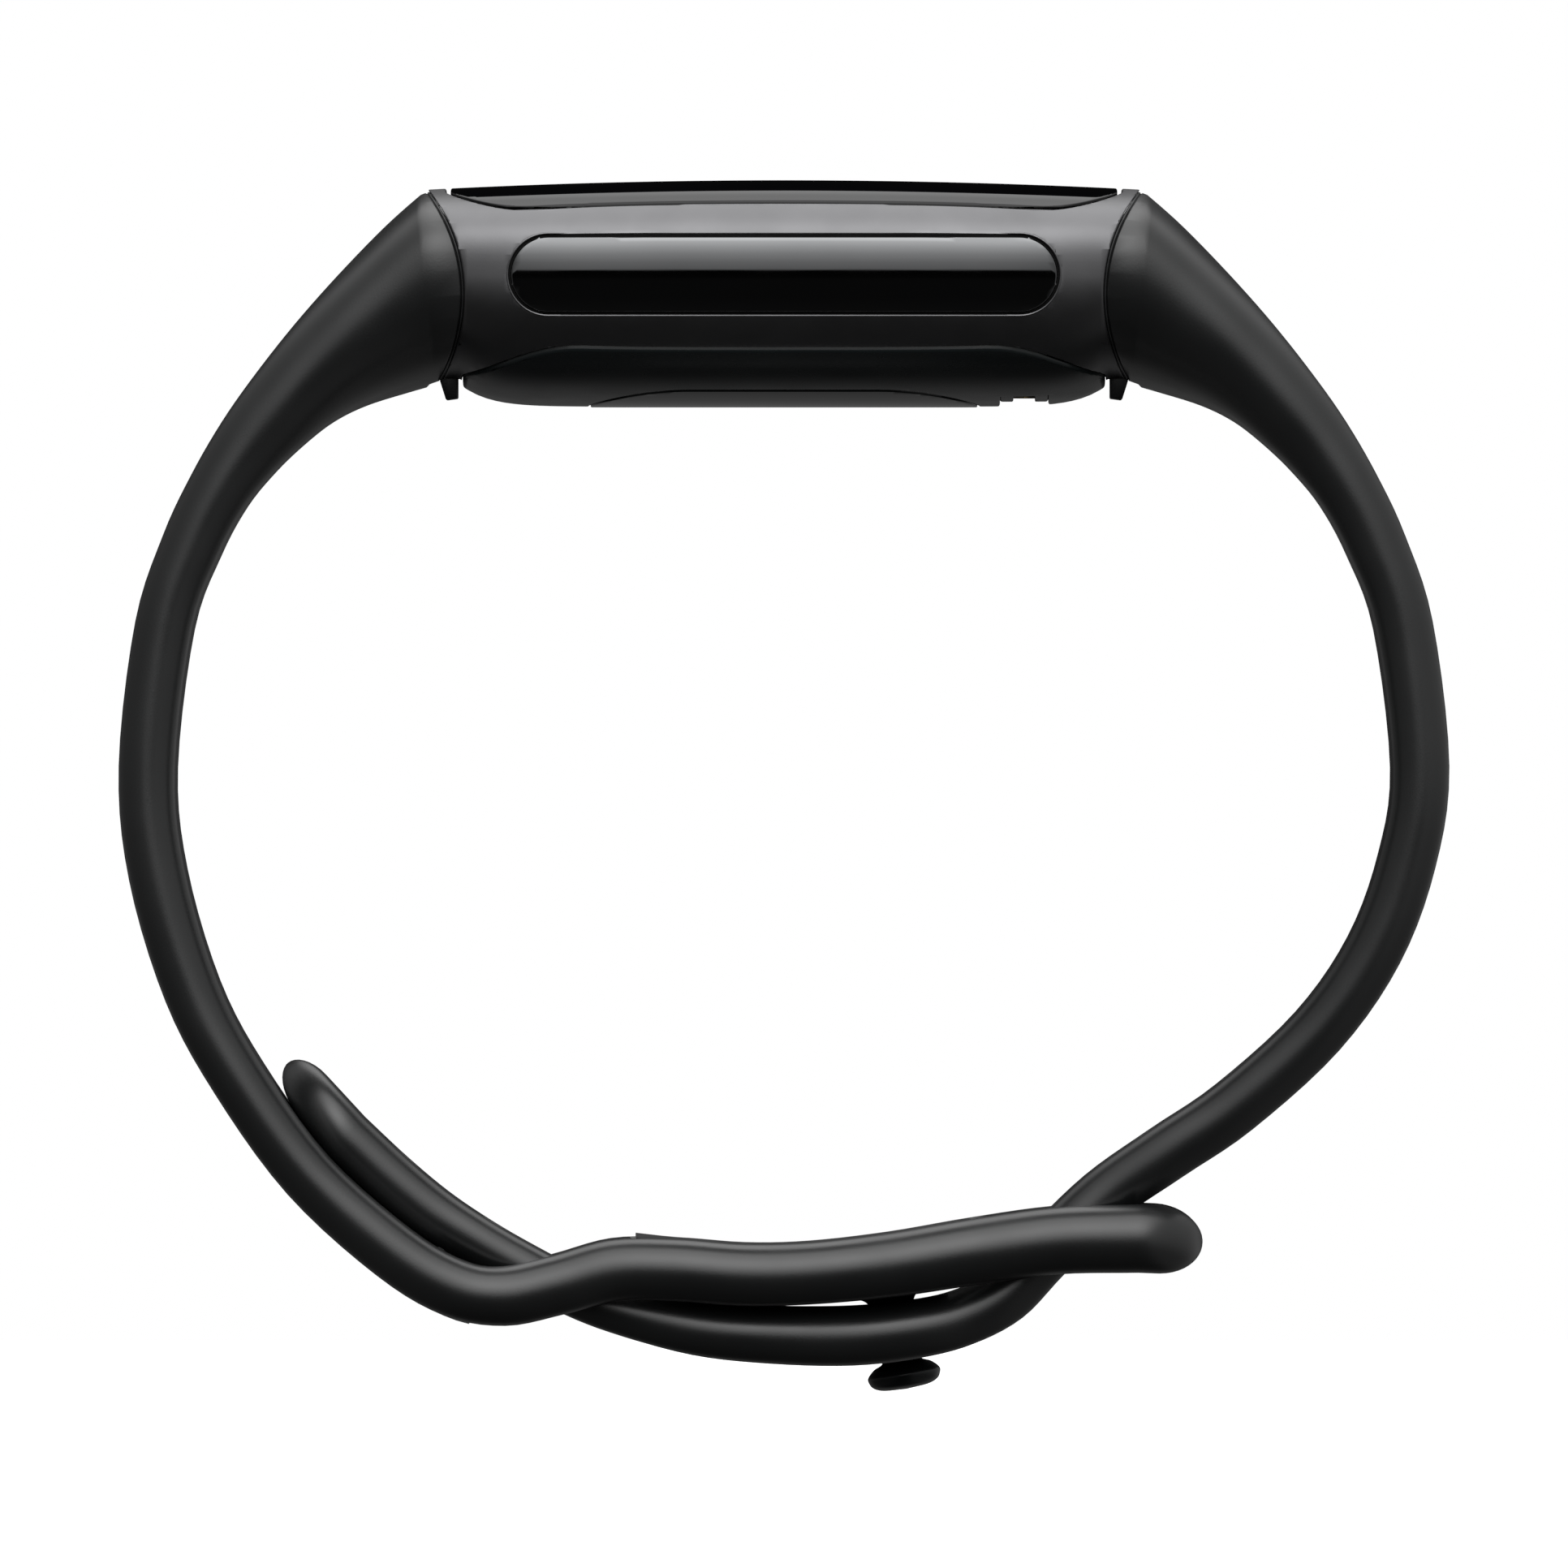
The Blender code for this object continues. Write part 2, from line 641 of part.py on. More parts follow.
def connector_room(side):
    """The pocket in a strap's root that its connector fills."""
    low = min(side * 10.0, side * (PLUG_ROOT_X + FIT_GAP))
    high = max(side * 10.0, side * (PLUG_ROOT_X + FIT_GAP))
    reach = PLUG_HALF_WIDTH + FIT_GAP
    return box("room", (low, -reach, PLUG_LOW - FIT_GAP), (high, reach, PLUG_HIGH + FIT_GAP))


def button_room(side):
    """The notch in a strap's end that its release button passes."""
    low = min(side * 10.0, side * (BUTTON_X[1] + RUN_GAP))
    high = max(side * 10.0, side * (BUTTON_X[1] + RUN_GAP))
    reach = BUTTON_HALF_WIDTH + RUN_GAP
    return box("notch", (low, -reach, BACK_Z - 2), (high, reach, PLUG_LOW + 0.5))


def copy_of(obj, name):
    """A second object with its own copy of the mesh."""
    made = obj.copy()
    made.data = obj.data.copy()
    made.name = name
    PARTS.objects.link(made)
    return made


def far_side(start, end, shift, reach=80.0):
    """A block on the right of the line from start to end, moved away from it by shift."""
    start, end = Vector(start), Vector(end)
    along = (end - start).normalized()
    away = Vector((along.y, -along.x))
    corners = [
        start - along * reach + away * shift, start + along * reach + away * shift,
        start + along * reach + away * reach, start - along * reach + away * reach,
    ]
    return side_prism("half_space", [tuple(c) for c in corners], -14.0, 14.0)


def make_loop_strap():
    """Strap at -X: upper half, and lower half with the tuck slot, the end loop and the peg's seat."""
    whole = strap_solid("loop_strap_lower", -1, LOOP_STRAP_LINE, LOOP_STRAP_TIP, LOOP_TIP_CORNER)
    upper = copy_of(whole, "loop_strap_upper")
    level = ((0.0, SPLIT_Z), (10.0, SPLIT_Z))
    cut(upper, far_side(*level, -SPLIT_GAP / 2), connector_room(-1), button_room(-1))
    cut(whole, far_side(*level[::-1], -SPLIT_GAP / 2))
    for outline in (END_SLOT, TUCK_SLOT):
        cut(whole, side_prism("slot", outline, -SLOT_HALF_WIDTH, SLOT_HALF_WIDTH))
    cut(
        whole,
        rod("peg_way", peg_point(4.6), peg_point(6.3), 1.15, sides=16),
        rod("plate_room", peg_point(5.45), peg_point(6.2), 2.15, sides=16),
    )


def hole_places():
    """(centre, outward direction) of each hole, spaced along the strap from the peg."""
    rows = [split_row(row) for row in smooth_path(strap_stations(1, HOLE_STRAP_LINE), 12)]
    middles = [(outer + inner) / 2 for outer, inner, _ in rows]
    start = min(range(len(rows)), key=lambda i: (middles[i] - peg_point(2.6)).length)
    run = [0.0]
    for before, after in zip(middles, middles[1:]):
        run.append(run[-1] + (after - before).length)
    places = []
    for number in range(-HOLES_TOWARDS_TRACKER, HOLES_TOWARDS_TIP + 1):
        wanted = run[start] + number * HOLE_PITCH
        index = min(range(len(run)), key=lambda i: abs(run[i] - wanted))
        outer, inner, _ = rows[index]
        places.append((middles[index], (outer - inner).normalized()))
    return places


def make_hole_strap():
    """Strap at +X: upper half, lower half and tail, with the row of holes."""
    whole = strap_solid("hole_strap_lower", 1, HOLE_STRAP_LINE, HOLE_STRAP_TIP, HOLE_TIP_CORNER)
    upper = copy_of(whole, "hole_strap_upper")
    level = ((0.0, SPLIT_Z), (10.0, SPLIT_Z))
    cut(upper, far_side(*level, -SPLIT_GAP / 2), connector_room(1), button_room(1))
    cut(whole, far_side(*level[::-1], -SPLIT_GAP / 2))
    for middle, out in hole_places():
        cut(whole, rod("hole", middle - out * 3, middle + out * 3, HOLE_RADIUS, sides=12))
    tail = copy_of(whole, "hole_strap_tail")
    cut(tail, far_side(TAIL_CUT_FOOT, TAIL_HINGE, -SPLIT_GAP / 2))
    cut(whole, far_side(TAIL_HINGE, TAIL_CUT_FOOT, -SPLIT_GAP / 2))


def make_connector(side, word):
    """Rigid plug in a strap's end, with its release button and spring."""
    plug = box(
        f"{word}_connector",
        (min(side * PLUG_TIP_X, side * PLUG_ROOT_X), -PLUG_HALF_WIDTH, PLUG_LOW),
        (max(side * PLUG_TIP_X, side * PLUG_ROOT_X), PLUG_HALF_WIDTH, PLUG_HIGH),
        PLASTIC, edge=0.3,
    )
    near, far = (side * x for x in BUTTON_X)
    well = box(
        "well",
        (min(near, far) - RUN_GAP, -BUTTON_HALF_WIDTH - RUN_GAP, PLUG_LOW - 1),
        (max(near, far) + RUN_GAP, BUTTON_HALF_WIDTH + RUN_GAP, 25.9),
    )
    cut(plug, well)
    low, high = BUTTON_Z
    slope = side * 0.32
    outline = ((near, low + 0.1), (near, high), (far, high), (far, 22.3), (far - slope, low))
    side_prism(f"{word}_release_button", outline, -BUTTON_HALF_WIDTH, BUTTON_HALF_WIDTH, PLASTIC)
    make_spring(f"{word}_button_spring", (near + far) / 2, high + 0.05, 25.85)


def make_spring(name, x, low, high, turns=4, radius=0.28):
    """A small compression spring standing on the release button."""
    curve = bpy.data.curves.new(name, "CURVE")
    curve.dimensions = "3D"
    curve.bevel_depth = 0.06 * MM
    curve.bevel_resolution = 1
    curve.use_fill_caps = True
    spline = curve.splines.new("POLY")
    count = turns * 8 + 1
    spline.points.add(count - 1)
    for i, point in enumerate(spline.points):
        angle = 2 * math.pi * i / 8
        height = low + 0.1 + (high - low - 0.2) * i / (count - 1)
        place = Vector((x + radius * math.cos(angle), radius * math.sin(angle), height)) * MM
        point.co = (*place, 1.0)
    wire = bpy.data.objects.new(name, curve)
    CUTTERS.objects.link(wire)
    bpy.context.view_layer.update()
    graph = bpy.context.evaluated_depsgraph_get()
    bm = bmesh.new()
    bm.from_mesh(bpy.data.meshes.new_from_object(wire.evaluated_get(graph)))
    bmesh.ops.remove_doubles(bm, verts=bm.verts, dist=0.001 * MM)
    bpy.data.objects.remove(wire)
    return finish(name, bm, STEEL)


def peg_point(height):
    """A point on the peg's axis, so far above the underside of its head."""
    return PEG_HEAD + Vector((-math.sin(PEG_TILT), 0, math.cos(PEG_TILT))) * height


def make_peg():
    """Mushroom peg with its stem, and the anchor plate moulded into the loop strap."""
    place = Matrix.Translation(PEG_HEAD * MM) @ Matrix.Rotation(-PEG_TILT, 4, "Y")
    profile = (
        (0, 6.05), (0.7, 6.05), (0.7, 5.5), (0.95, 5.4), (0.95, 4.75), (1.15, 4.6), (1.15, 4.4),
        (0.95, 4.25), (0.95, 1.45), (1.25, 1.25), (1.75, 0.95), (1.82, 0.65), (1.7, 0.35), (1.2, 0.08),
        (0, 0),
    )
    turned("clasp_peg", profile, place, PLASTIC, sides=20)
    ring = ((0.8, 6.0), (2.0, 6.0), (2.0, 5.6), (0.8, 5.6), (0.8, 6.0))
    turned("peg_anchor_plate", ring, place, STEEL, sides=16)


clear_scene()
PARTS = make_collection("fitness_tracker")
CUTTERS = make_collection("cutters")
GLASS = make_material("cover_glass_black", (0.01, 0.01, 0.012), 0.05)
ALUMINIUM = make_material("graphite_aluminium", (0.09, 0.09, 0.095), 0.38, 1.0)
STEEL = make_material("polished_steel", (0.16, 0.16, 0.165), 0.12, 1.0)
SILICONE = make_material("strap_silicone", (0.025, 0.026, 0.027), 0.5)
PLASTIC = make_material("black_plastic", (0.012, 0.014, 0.015), 0.3)
RUBBER = make_material("seal_rubber", (0.02, 0.02, 0.02), 0.7)
FOAM = make_material("black_foam", (0.03, 0.03, 0.03), 0.9)
BOARD = make_material("circuit_board", (0.01, 0.09, 0.05), 0.45)
CHIP = make_material("chip_epoxy", (0.02, 0.02, 0.022), 0.5)
LED = make_material("led_lens", (0.5, 0.75, 0.45), 0.2)
DISPLAY = make_material("display_black", (0.008, 0.008, 0.012), 0.15)
FLEX = make_material("flex_amber", (0.35, 0.15, 0.03), 0.4)
FOIL = make_material("battery_foil", (0.45, 0.46, 0.48), 0.35, 0.8)
GOLD = make_material("contact_gold", (0.8, 0.56, 0.22), 0.2, 1.0)
BRASS = make_material("rotor_tungsten", (0.35, 0.34, 0.32), 0.35, 1.0)

make_glass()
make_housing()
make_side_electrodes()
make_rear_cover()
make_sensor()
make_charging()
make_electronics()
make_screws()
make_motor()
make_loop_strap()
make_hole_strap()
for strap_side, strap_word in ((-1, "loop"), (1, "hole")):
    make_connector(strap_side, strap_word)
make_peg()
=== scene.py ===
"""Slim fitness tracker on its closed peg-and-loop wristband: the finished visual model.

The frame's origin is the middle of the wrist opening. +X runs towards the strap with the
holes, +Y across the band and +Z up through the display. Sizes are in millimetres unless a
name says otherwise, and meshes are written in metres.
"""

import logging
import math
from dataclasses import dataclass
from enum import Enum
from functools import reduce
from typing import Callable, Sequence

import bmesh
import bpy
from mathutils import Matrix, Vector


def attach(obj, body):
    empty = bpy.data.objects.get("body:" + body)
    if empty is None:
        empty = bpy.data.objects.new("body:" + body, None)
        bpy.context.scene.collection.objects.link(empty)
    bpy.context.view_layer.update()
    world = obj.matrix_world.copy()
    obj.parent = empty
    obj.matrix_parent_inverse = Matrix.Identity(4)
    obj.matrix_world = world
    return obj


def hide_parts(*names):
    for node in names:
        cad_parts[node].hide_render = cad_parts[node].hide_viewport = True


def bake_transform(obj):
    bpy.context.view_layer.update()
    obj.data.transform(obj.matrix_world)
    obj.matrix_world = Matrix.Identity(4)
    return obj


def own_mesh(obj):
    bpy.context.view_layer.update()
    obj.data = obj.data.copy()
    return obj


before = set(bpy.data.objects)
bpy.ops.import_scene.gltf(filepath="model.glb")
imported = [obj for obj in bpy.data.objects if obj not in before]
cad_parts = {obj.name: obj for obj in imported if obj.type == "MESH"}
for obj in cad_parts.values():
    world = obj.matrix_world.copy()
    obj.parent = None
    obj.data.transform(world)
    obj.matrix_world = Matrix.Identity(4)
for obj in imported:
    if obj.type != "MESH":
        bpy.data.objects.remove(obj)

LOG = logging.getLogger("fitness_tracker")
MM = 0.001
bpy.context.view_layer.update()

BMesh = bmesh.types.BMesh
Socket = bpy.types.NodeSocket
Pair = tuple[float, float]
Triple = tuple[float, float, float]
Row = tuple[float, ...]


# ---------------------------------------------------------------- finishes


class NodeNet:
    """The shader nodes of a material or a world, with one short way to add and join them."""

    def __init__(self, owner: bpy.types.ID) -> None:
        """Takes over the owner's nodes."""
        owner.use_nodes = True
        self.tree = owner.node_tree

    def feed(self, node: bpy.types.Node, inputs: dict[str | int, Socket | float | Row]) -> None:
        """Gives a node's inputs what they take.

        Args:
            node: the node.
            inputs: for each input, another node's output or a constant.
        """
        for name, value in inputs.items():
            if isinstance(value, Socket):
                self.tree.links.new(value, node.inputs[name])
            else:
                node.inputs[name].default_value = value

    def add(self, kind: str, inputs: dict[str | int, Socket | float | Row], result: str | int = 0,
            **settings: str) -> Socket:
        """Adds a node.

        Args:
            kind: the node's type, without its "ShaderNode".
            inputs: for each input, another node's output or a constant.
            result: the output that is wanted.
            settings: the node's own settings.

        Returns:
            The wanted output.
        """
        node = self.tree.nodes.new(f"ShaderNode{kind}")
        for name, value in settings.items():
            setattr(node, name, value)
        self.feed(node, inputs)
        return node.outputs[result]


class Relief(Enum):
    """How a surface's fine relief is laid."""

    MOULDED = "moulded"
    BLASTED = "blasted"
    BRUSHED = "brushed"
    TRACED = "traced"


@dataclass(frozen=True)
class Finish:
    """One surface finish: base tone with mottling, gloss with variation, and fine relief.

    Grain and mottle sizes are in millimetres, and relief is the depth of the grain.
    """

    name: str
    colour: Triple
    roughness: float
    metallic: float = 0.0
    specular: float = 0.5
    coat: float = 0.0
    coat_roughness: float = 0.08
    track_pitch: float = 2.2
    relief_kind: Relief = Relief.MOULDED
    grain: float = 0.12
    relief: float = 0.003
    mottle: float = 0.12
    mottle_size: float = 5.0
    gloss_spread: float = 0.05
    wear: float = 0.0
    accent: Triple = (0.0, 0.0, 0.0)

    def material(self) -> bpy.types.Material:
        """Gives the finish's material, built at its first use.

        Returns:
            The material.
        """
        found = bpy.data.materials.get(self.name)
        if found and found.get("finish"):
            return found
        made = bpy.data.materials.new(self.name)
        made["finish"] = True
        net = NodeNet(made)
        place = net.add("TexCoord", {}, "Object")
        net.feed(net.tree.nodes["Principled BSDF"], {
            "Metallic": self.metallic,
            "Specular IOR Level": self.specular,
            "Coat Weight": self.coat,
            "Coat Roughness": self.coat_roughness,
            "Base Color": self.tone(net, place),
            "Roughness": self.gloss(net, place),
            "Normal": self.grained(net, place),
        })
        return made

    def cloud(self, net: NodeNet, place: Socket, size: float, detail: float,
              span: Pair = (0.0, 1.0)) -> Socket:
        """A soft noise of one feature size, stretched to a span of values.

        Args:
            net: the material's nodes.
            place: the coordinates to read.
            size: the feature size in millimetres.
            detail: the number of finer octaves.
            span: the values where the noise is low and where it is high.

        Returns:
            The stretched noise.
        """
        limits = {"From Min": 0.3, "From Max": 0.7, "To Min": span[0], "To Max": span[1]}
        return net.add("MapRange", {"Value": self.noise(net, place, size, detail), **limits})

    def noise(self, net: NodeNet, place: Socket, size: float, detail: float,
              stretch: Triple = (1.0, 1.0, 1.0)) -> Socket:
        """A plain noise of one feature size, with its coordinates stretched along each axis."""
        moved = net.add("Mapping", {"Vector": place, "Scale": stretch})
        return net.add("TexNoise", {"Vector": moved, "Scale": 1.0 / (size * MM), "Detail": detail}, "Fac")

    def mixed(self, net: NodeNet, share: Socket, under: Socket | Row, over: Socket | Row) -> Socket:
        """Two colours, mixed by a share."""
        inputs = {"Factor": share, "A": under, "B": over}
        return net.add("Mix", inputs, "Result", data_type="RGBA")

    def tone(self, net: NodeNet, place: Socket) -> Socket:
        """The base colour: mottled, with any tracks drawn on it and its worn edges lightened.

        Args:
            net: the material's nodes.
            place: the coordinates to read.

        Returns:
            The colour.
        """
        dark, pale = ((*(c * (1 + by) for c in self.colour), 1) for by in (-self.mottle, self.mottle))
        result = self.mixed(net, self.cloud(net, place, self.mottle_size, 3), dark, pale)
        if self.relief_kind is Relief.TRACED:
            board = {"Scale": 1.0 / (self.track_pitch * MM), "Mortar Size": 0.06, "Brick Width": 1.7}
            tracks = net.add("TexBrick", {"Vector": place, **board}, "Fac")
            result = self.mixed(net, tracks, result, (*self.accent, 1))
        if self.wear:
            worn = (*(min(1.0, c * 2.5 + 0.02) for c in self.colour), 1)
            result = self.mixed(net, self.edges(net, place), result, worn)
        return result

    def edges(self, net: NodeNet, place: Socket) -> Socket:
        """Where the sharpest edges are worn, in patches.

        Args:
            net: the material's nodes.
            place: the coordinates to read.

        Returns:
            The share of wear.
        """
        sharpness = net.add("NewGeometry", {}, "Pointiness")
        limits = {"From Min": 0.54, "From Max": 0.68, "To Max": self.wear}
        edge = net.add("MapRange", {"Value": sharpness, **limits})
        return net.add("Math", {0: edge, 1: self.cloud(net, place, 1.4, 2, (0.3, 1.0))}, operation="MULTIPLY")

    def gloss(self, net: NodeNet, place: Socket) -> Socket:
        """The roughness, in soft patches as handling leaves it."""
        low, high = self.roughness - self.gloss_spread, self.roughness + self.gloss_spread
        return self.cloud(net, place, self.mottle_size * 0.6, 4, (max(low, 0.02), high))

    def grained(self, net: NodeNet, place: Socket) -> Socket:
        """The normal, with the surface's fine grain.

        Args:
            net: the material's nodes.
            place: the coordinates to read.

        Returns:
            The normal.
        """
        stretch = (0.04, 1.0, 1.0) if self.relief_kind is Relief.BRUSHED else (1.0, 1.0, 1.0)
        detail = 1 if self.relief_kind is Relief.BLASTED else 3
        height = self.noise(net, place, self.grain, detail, stretch)
        return net.add("Bump", {"Height": height, "Distance": self.relief * MM, "Strength": 1.0})


class Palette:
    """The object's finishes, named for what they cover."""

    GLASS = Finish("front_glass", (0.0015, 0.0015, 0.002), 0.03, specular=0.38, grain=3.0,
                   relief=0.0004, mottle=0.2, mottle_size=9, gloss_spread=0.01)
    SENSOR_GLASS = Finish("sensor_glass", (0.006, 0.008, 0.009), 0.06, grain=2.0, relief=0.0004,
                          gloss_spread=0.015)
    HOUSING = Finish("blasted_housing", (0.185, 0.185, 0.19), 0.38, metallic=1.0,
                     relief_kind=Relief.BLASTED, grain=0.07, relief=0.0012, mottle=0.05,
                     mottle_size=3.0, gloss_spread=0.02, wear=0.25)
    ELECTRODE = Finish("polished_electrode", (0.2, 0.203, 0.207), 0.03, metallic=1.0,
                       relief_kind=Relief.BRUSHED, grain=0.15, relief=0.0001, mottle=0.03,
                       gloss_spread=0.01)
    COVER = Finish("rear_cover_black", (0.014, 0.018, 0.019), 0.26, grain=0.1, relief=0.0012,
                   gloss_spread=0.04)
    SILICONE = Finish("strap_silicone_satin", (0.0122, 0.013, 0.0133), 0.34, specular=0.95, grain=0.09,
                      relief=0.0028, mottle=0.1, mottle_size=6, gloss_spread=0.03)
    COLLAR = Finish("connector_collar", (0.03, 0.031, 0.032), 0.36, grain=0.07, relief=0.002, wear=0.2)
    BUTTON = Finish("button_black", (0.008, 0.009, 0.01), 0.3, grain=0.08, relief=0.002, wear=0.15)
    PEG = Finish("peg_black", (0.006, 0.008, 0.009), 0.3, grain=0.1, relief=0.001, wear=0.1)
    # near-black rubber for the real seals; on the collar necks the same black is painted shade in the seam
    # gaps
    GASKET_AND_GAP_SHADE = Finish("gasket_and_gap_shade_black", (0.003, 0.003, 0.003), 0.65, specular=0.2, relief=0.004)
    FOAM = Finish("adhesive_foam", (0.02, 0.02, 0.02), 0.9, grain=0.2, relief=0.03, mottle=0.4)
    BOARD = Finish("board_green", (0.008, 0.07, 0.04), 0.4, relief_kind=Relief.TRACED,
                   accent=(0.02, 0.13, 0.07), grain=0.3, relief=0.004)
    CHIP = Finish("moulded_epoxy", (0.02, 0.02, 0.022), 0.5, grain=0.08, relief=0.004, mottle=0.25)
    LAMP = Finish("lamp_lens", (0.5, 0.75, 0.45), 0.15, coat=0.6, grain=0.5, relief=0.002)
    DISPLAY = Finish("display_stack", (0.008, 0.008, 0.014), 0.12, coat=0.5, grain=0.4, relief=0.001)
    FLEX = Finish("flex_film", (0.35, 0.15, 0.03), 0.35, relief_kind=Relief.TRACED,
                  accent=(0.55, 0.25, 0.06), grain=0.4, relief=0.003)
    FOIL = Finish("cell_foil", (0.45, 0.46, 0.48), 0.35, metallic=0.8, grain=0.9, relief=0.02,
                  mottle=0.1, gloss_spread=0.1)
    GOLD = Finish("plated_gold", (0.8, 0.56, 0.22), 0.18, metallic=1.0, grain=0.2, relief=0.002)
    STEEL = Finish("turned_steel", (0.4, 0.4, 0.41), 0.22, metallic=1.0, relief_kind=Relief.BRUSHED,
                   grain=0.06, relief=0.002)
    TUNGSTEN = Finish("sintered_tungsten", (0.3, 0.29, 0.27), 0.4, metallic=1.0,
                      relief_kind=Relief.BLASTED, grain=0.08, relief=0.006)


# ---------------------------------------------------------------- mesh work


def tube(place: Callable[[int, int], Vector], rows: int, columns: int) -> BMesh:
    """Rolls a grid into a tube with closed ends.

    Args:
        place: gives a vertex's place, in millimetres, from its row and its column.
        rows: the number of cells along the tube.
        columns: the number of cells round it.

    Returns:
        The tube. Its face layer "cell" counts from 1, row by row, and is 0 on the ends.
    """
    bm = bmesh.new()
    bmesh.ops.create_grid(bm, x_segments=rows, y_segments=columns, size=0.5)
    cell = bm.faces.layers.int.new("cell")
    for face in bm.faces:
        middle = face.calc_center_median() + Vector((0.5, 0.5, 0.0))
        face[cell] = 1 + int(middle.x * rows) * columns + int(middle.y * columns)
    for vert in bm.verts:
        row = round((vert.co.x + 0.5) * rows)
        column = round((vert.co.y + 0.5) * columns) % columns
        vert.co = place(row, column) * MM
    bmesh.ops.remove_doubles(bm, verts=bm.verts, dist=1e-8)
    bmesh.ops.holes_fill(bm, edges=[e for e in bm.edges if e.is_boundary])
    for face in bm.faces:
        if len(face.verts) > 4:
            face[cell] = 0
    bmesh.ops.recalc_face_normals(bm, faces=bm.faces)
    return bm


def prism(outline: Sequence[Pair], low: float, high: float, axis: str = "Y") -> BMesh:
    """Draws an outline out along an axis.

    Args:
        outline: (x, z) points for axis Y, or (x, y) points for axis Z.
        low: the place of the first face along the axis.
        high: the place of the last face along it.
        axis: "Y" or "Z".

    Returns:
        The closed prism.
    """
    bm = bmesh.new()
    spread = (lambda a, b: (a, low, b)) if axis == "Y" else (lambda a, b: (a, b, low))
    face = bm.faces.new([bm.verts.new(Vector(spread(a, b)) * MM) for a, b in outline])
    drawn = bmesh.ops.extrude_face_region(bm, geom=[face])["geom"]
    moved = [v for v in drawn if isinstance(v, bmesh.types.BMVert)]
    step = Vector((0, high - low, 0)) if axis == "Y" else Vector((0, 0, high - low))
    bmesh.ops.translate(bm, vec=step * MM, verts=moved)
    bmesh.ops.recalc_face_normals(bm, faces=bm.faces)
    return bm


def bevel(bm: BMesh, edges: Sequence[bmesh.types.BMEdge], width: float, segments: int,
          clamp: bool = False) -> None:
    """Rounds a mesh's edges by a width in millimetres."""
    bmesh.ops.bevel(bm, geom=edges, offset=width * MM, segments=segments, profile=0.5, affect="EDGES",
                    material=-1, clamp_overlap=clamp)


def block(low: Row, high: Row, edge: float = 0.0, segments: int = 3) -> BMesh:
    """A box between two corners, with rounded edges.

    Args:
        low: its corner with the least x, y and z.
        high: its opposite corner.
        edge: the rounding's width, or 0 for sharp edges.
        segments: the rounding's number of facets.

    Returns:
        The closed box.
    """
    bm = bmesh.new()
    bmesh.ops.create_cube(bm, size=1.0)
    start, end = Vector(low) * MM, Vector(high) * MM
    bmesh.ops.scale(bm, vec=end - start, verts=bm.verts)
    bmesh.ops.translate(bm, vec=(start + end) / 2, verts=bm.verts)
    if edge:
        bevel(bm, bm.edges[:], edge, segments)
    return bm


def flank(side: int, reach: Pair, half_width: float, heights: Pair, edge: float = 0.0,
          segments: int = 3) -> BMesh:
    """A box on one side of the middle, between two distances from it."""
    start, end = sorted((side * reach[0], side * reach[1]))
    return block((start, -half_width, heights[0]), (end, half_width, heights[1]), edge, segments)


def plate(outline: Triple, low: float, high: float, segments: int = 14, draft: float = 0.0) -> BMesh:
    """Draws a rounded rectangle between two heights.

    Args:
        outline: its half length, half width and corner radius.
        low: its lower height.
        high: its upper height.
        segments: the number of facets in each corner.
        draft: how much narrower its top is than its foot, on each long side.

    Returns:
        The closed plate.
    """
    half_x, half_y, corner = outline
    bm = block((-half_x, -half_y, low), (half_x, half_y, high))
    upright = [e for e in bm.edges if abs(e.verts[0].co.z - e.verts[1].co.z) > 0.5 * (high - low) * MM]
    bevel(bm, upright, corner, segments)
    top = [v for v in bm.verts if v.co.z > (low + high) / 2 * MM]
    bmesh.ops.scale(bm, vec=(1, 1 - draft / half_y, 1), verts=top)
    return bm


def grown(outline: Triple, by: float) -> Triple:
    """A rounded outline made larger by a distance on every side."""
    return tuple(value + by for value in outline)


def spun(profile: Sequence[Pair], place: Matrix, steps: int = 40) -> BMesh:
    """Spins a profile round Z.

    Args:
        profile: (radius, height) points from axis to axis.
        place: where the piece goes, in metres.
        steps: the number of facets round it.

    Returns:
        The closed turned piece.
    """
    bm = bmesh.new()
    points = [bm.verts.new(Vector((radius, 0, height)) * MM) for radius, height in profile]
    edges = [bm.edges.new(pair) for pair in zip(points, points[1:])]
    bmesh.ops.spin(bm, geom=points + edges, cent=(0, 0, 0), axis=(0, 0, 1), angle=2 * math.pi,
                   steps=steps, use_merge=True)
    bmesh.ops.remove_doubles(bm, verts=bm.verts, dist=1e-7)
    bmesh.ops.transform(bm, matrix=place, verts=bm.verts)
    bmesh.ops.recalc_face_normals(bm, faces=bm.faces)
    return bm


def bore(radius: float, x: float, y: float, heights: Pair) -> BMesh:
    """An upright round cutter."""
    outline = [(0, heights[0]), (radius, heights[0]), (radius, heights[1]), (0, heights[1])]
    return spun(outline, Matrix.Translation(Vector((x, y, 0)) * MM), 24)


def bead(points: Sequence[Vector], radius: float, columns: int = 8) -> BMesh:
    """Runs a round bead along a closed line.

    Args:
        points: the line's points, in millimetres.
        radius: the bead's radius.
        columns: the number of facets round it.

    Returns:
        The closed bead.
    """
    def place(row: int, column: int) -> Vector:
        """A grid vertex's place.

        Args:
            row: its row.
            column: its column.

        Returns:
            The place in millimetres.
        """
        point, ahead = points[row % len(points)], points[(row + 1) % len(points)]
        along = (ahead - points[row % len(points) - 1]).normalized()
        out = along.cross(Vector((0, 1, 0))).normalized()
        turn = 2 * math.pi * column / columns
        return point + (out * math.cos(turn) + Vector((0, 1, 0)) * math.sin(turn)) * radius

    return tube(place, len(points), columns)


def rounded(profile: Sequence[Pair], steps: int = 4) -> list[Pair]:
    """Draws a smooth line through a profile's points, which stays on its first and last point."""
    rows = path(profile, steps)
    return [(max(radius, 0.0), height) for radius, height in rows]


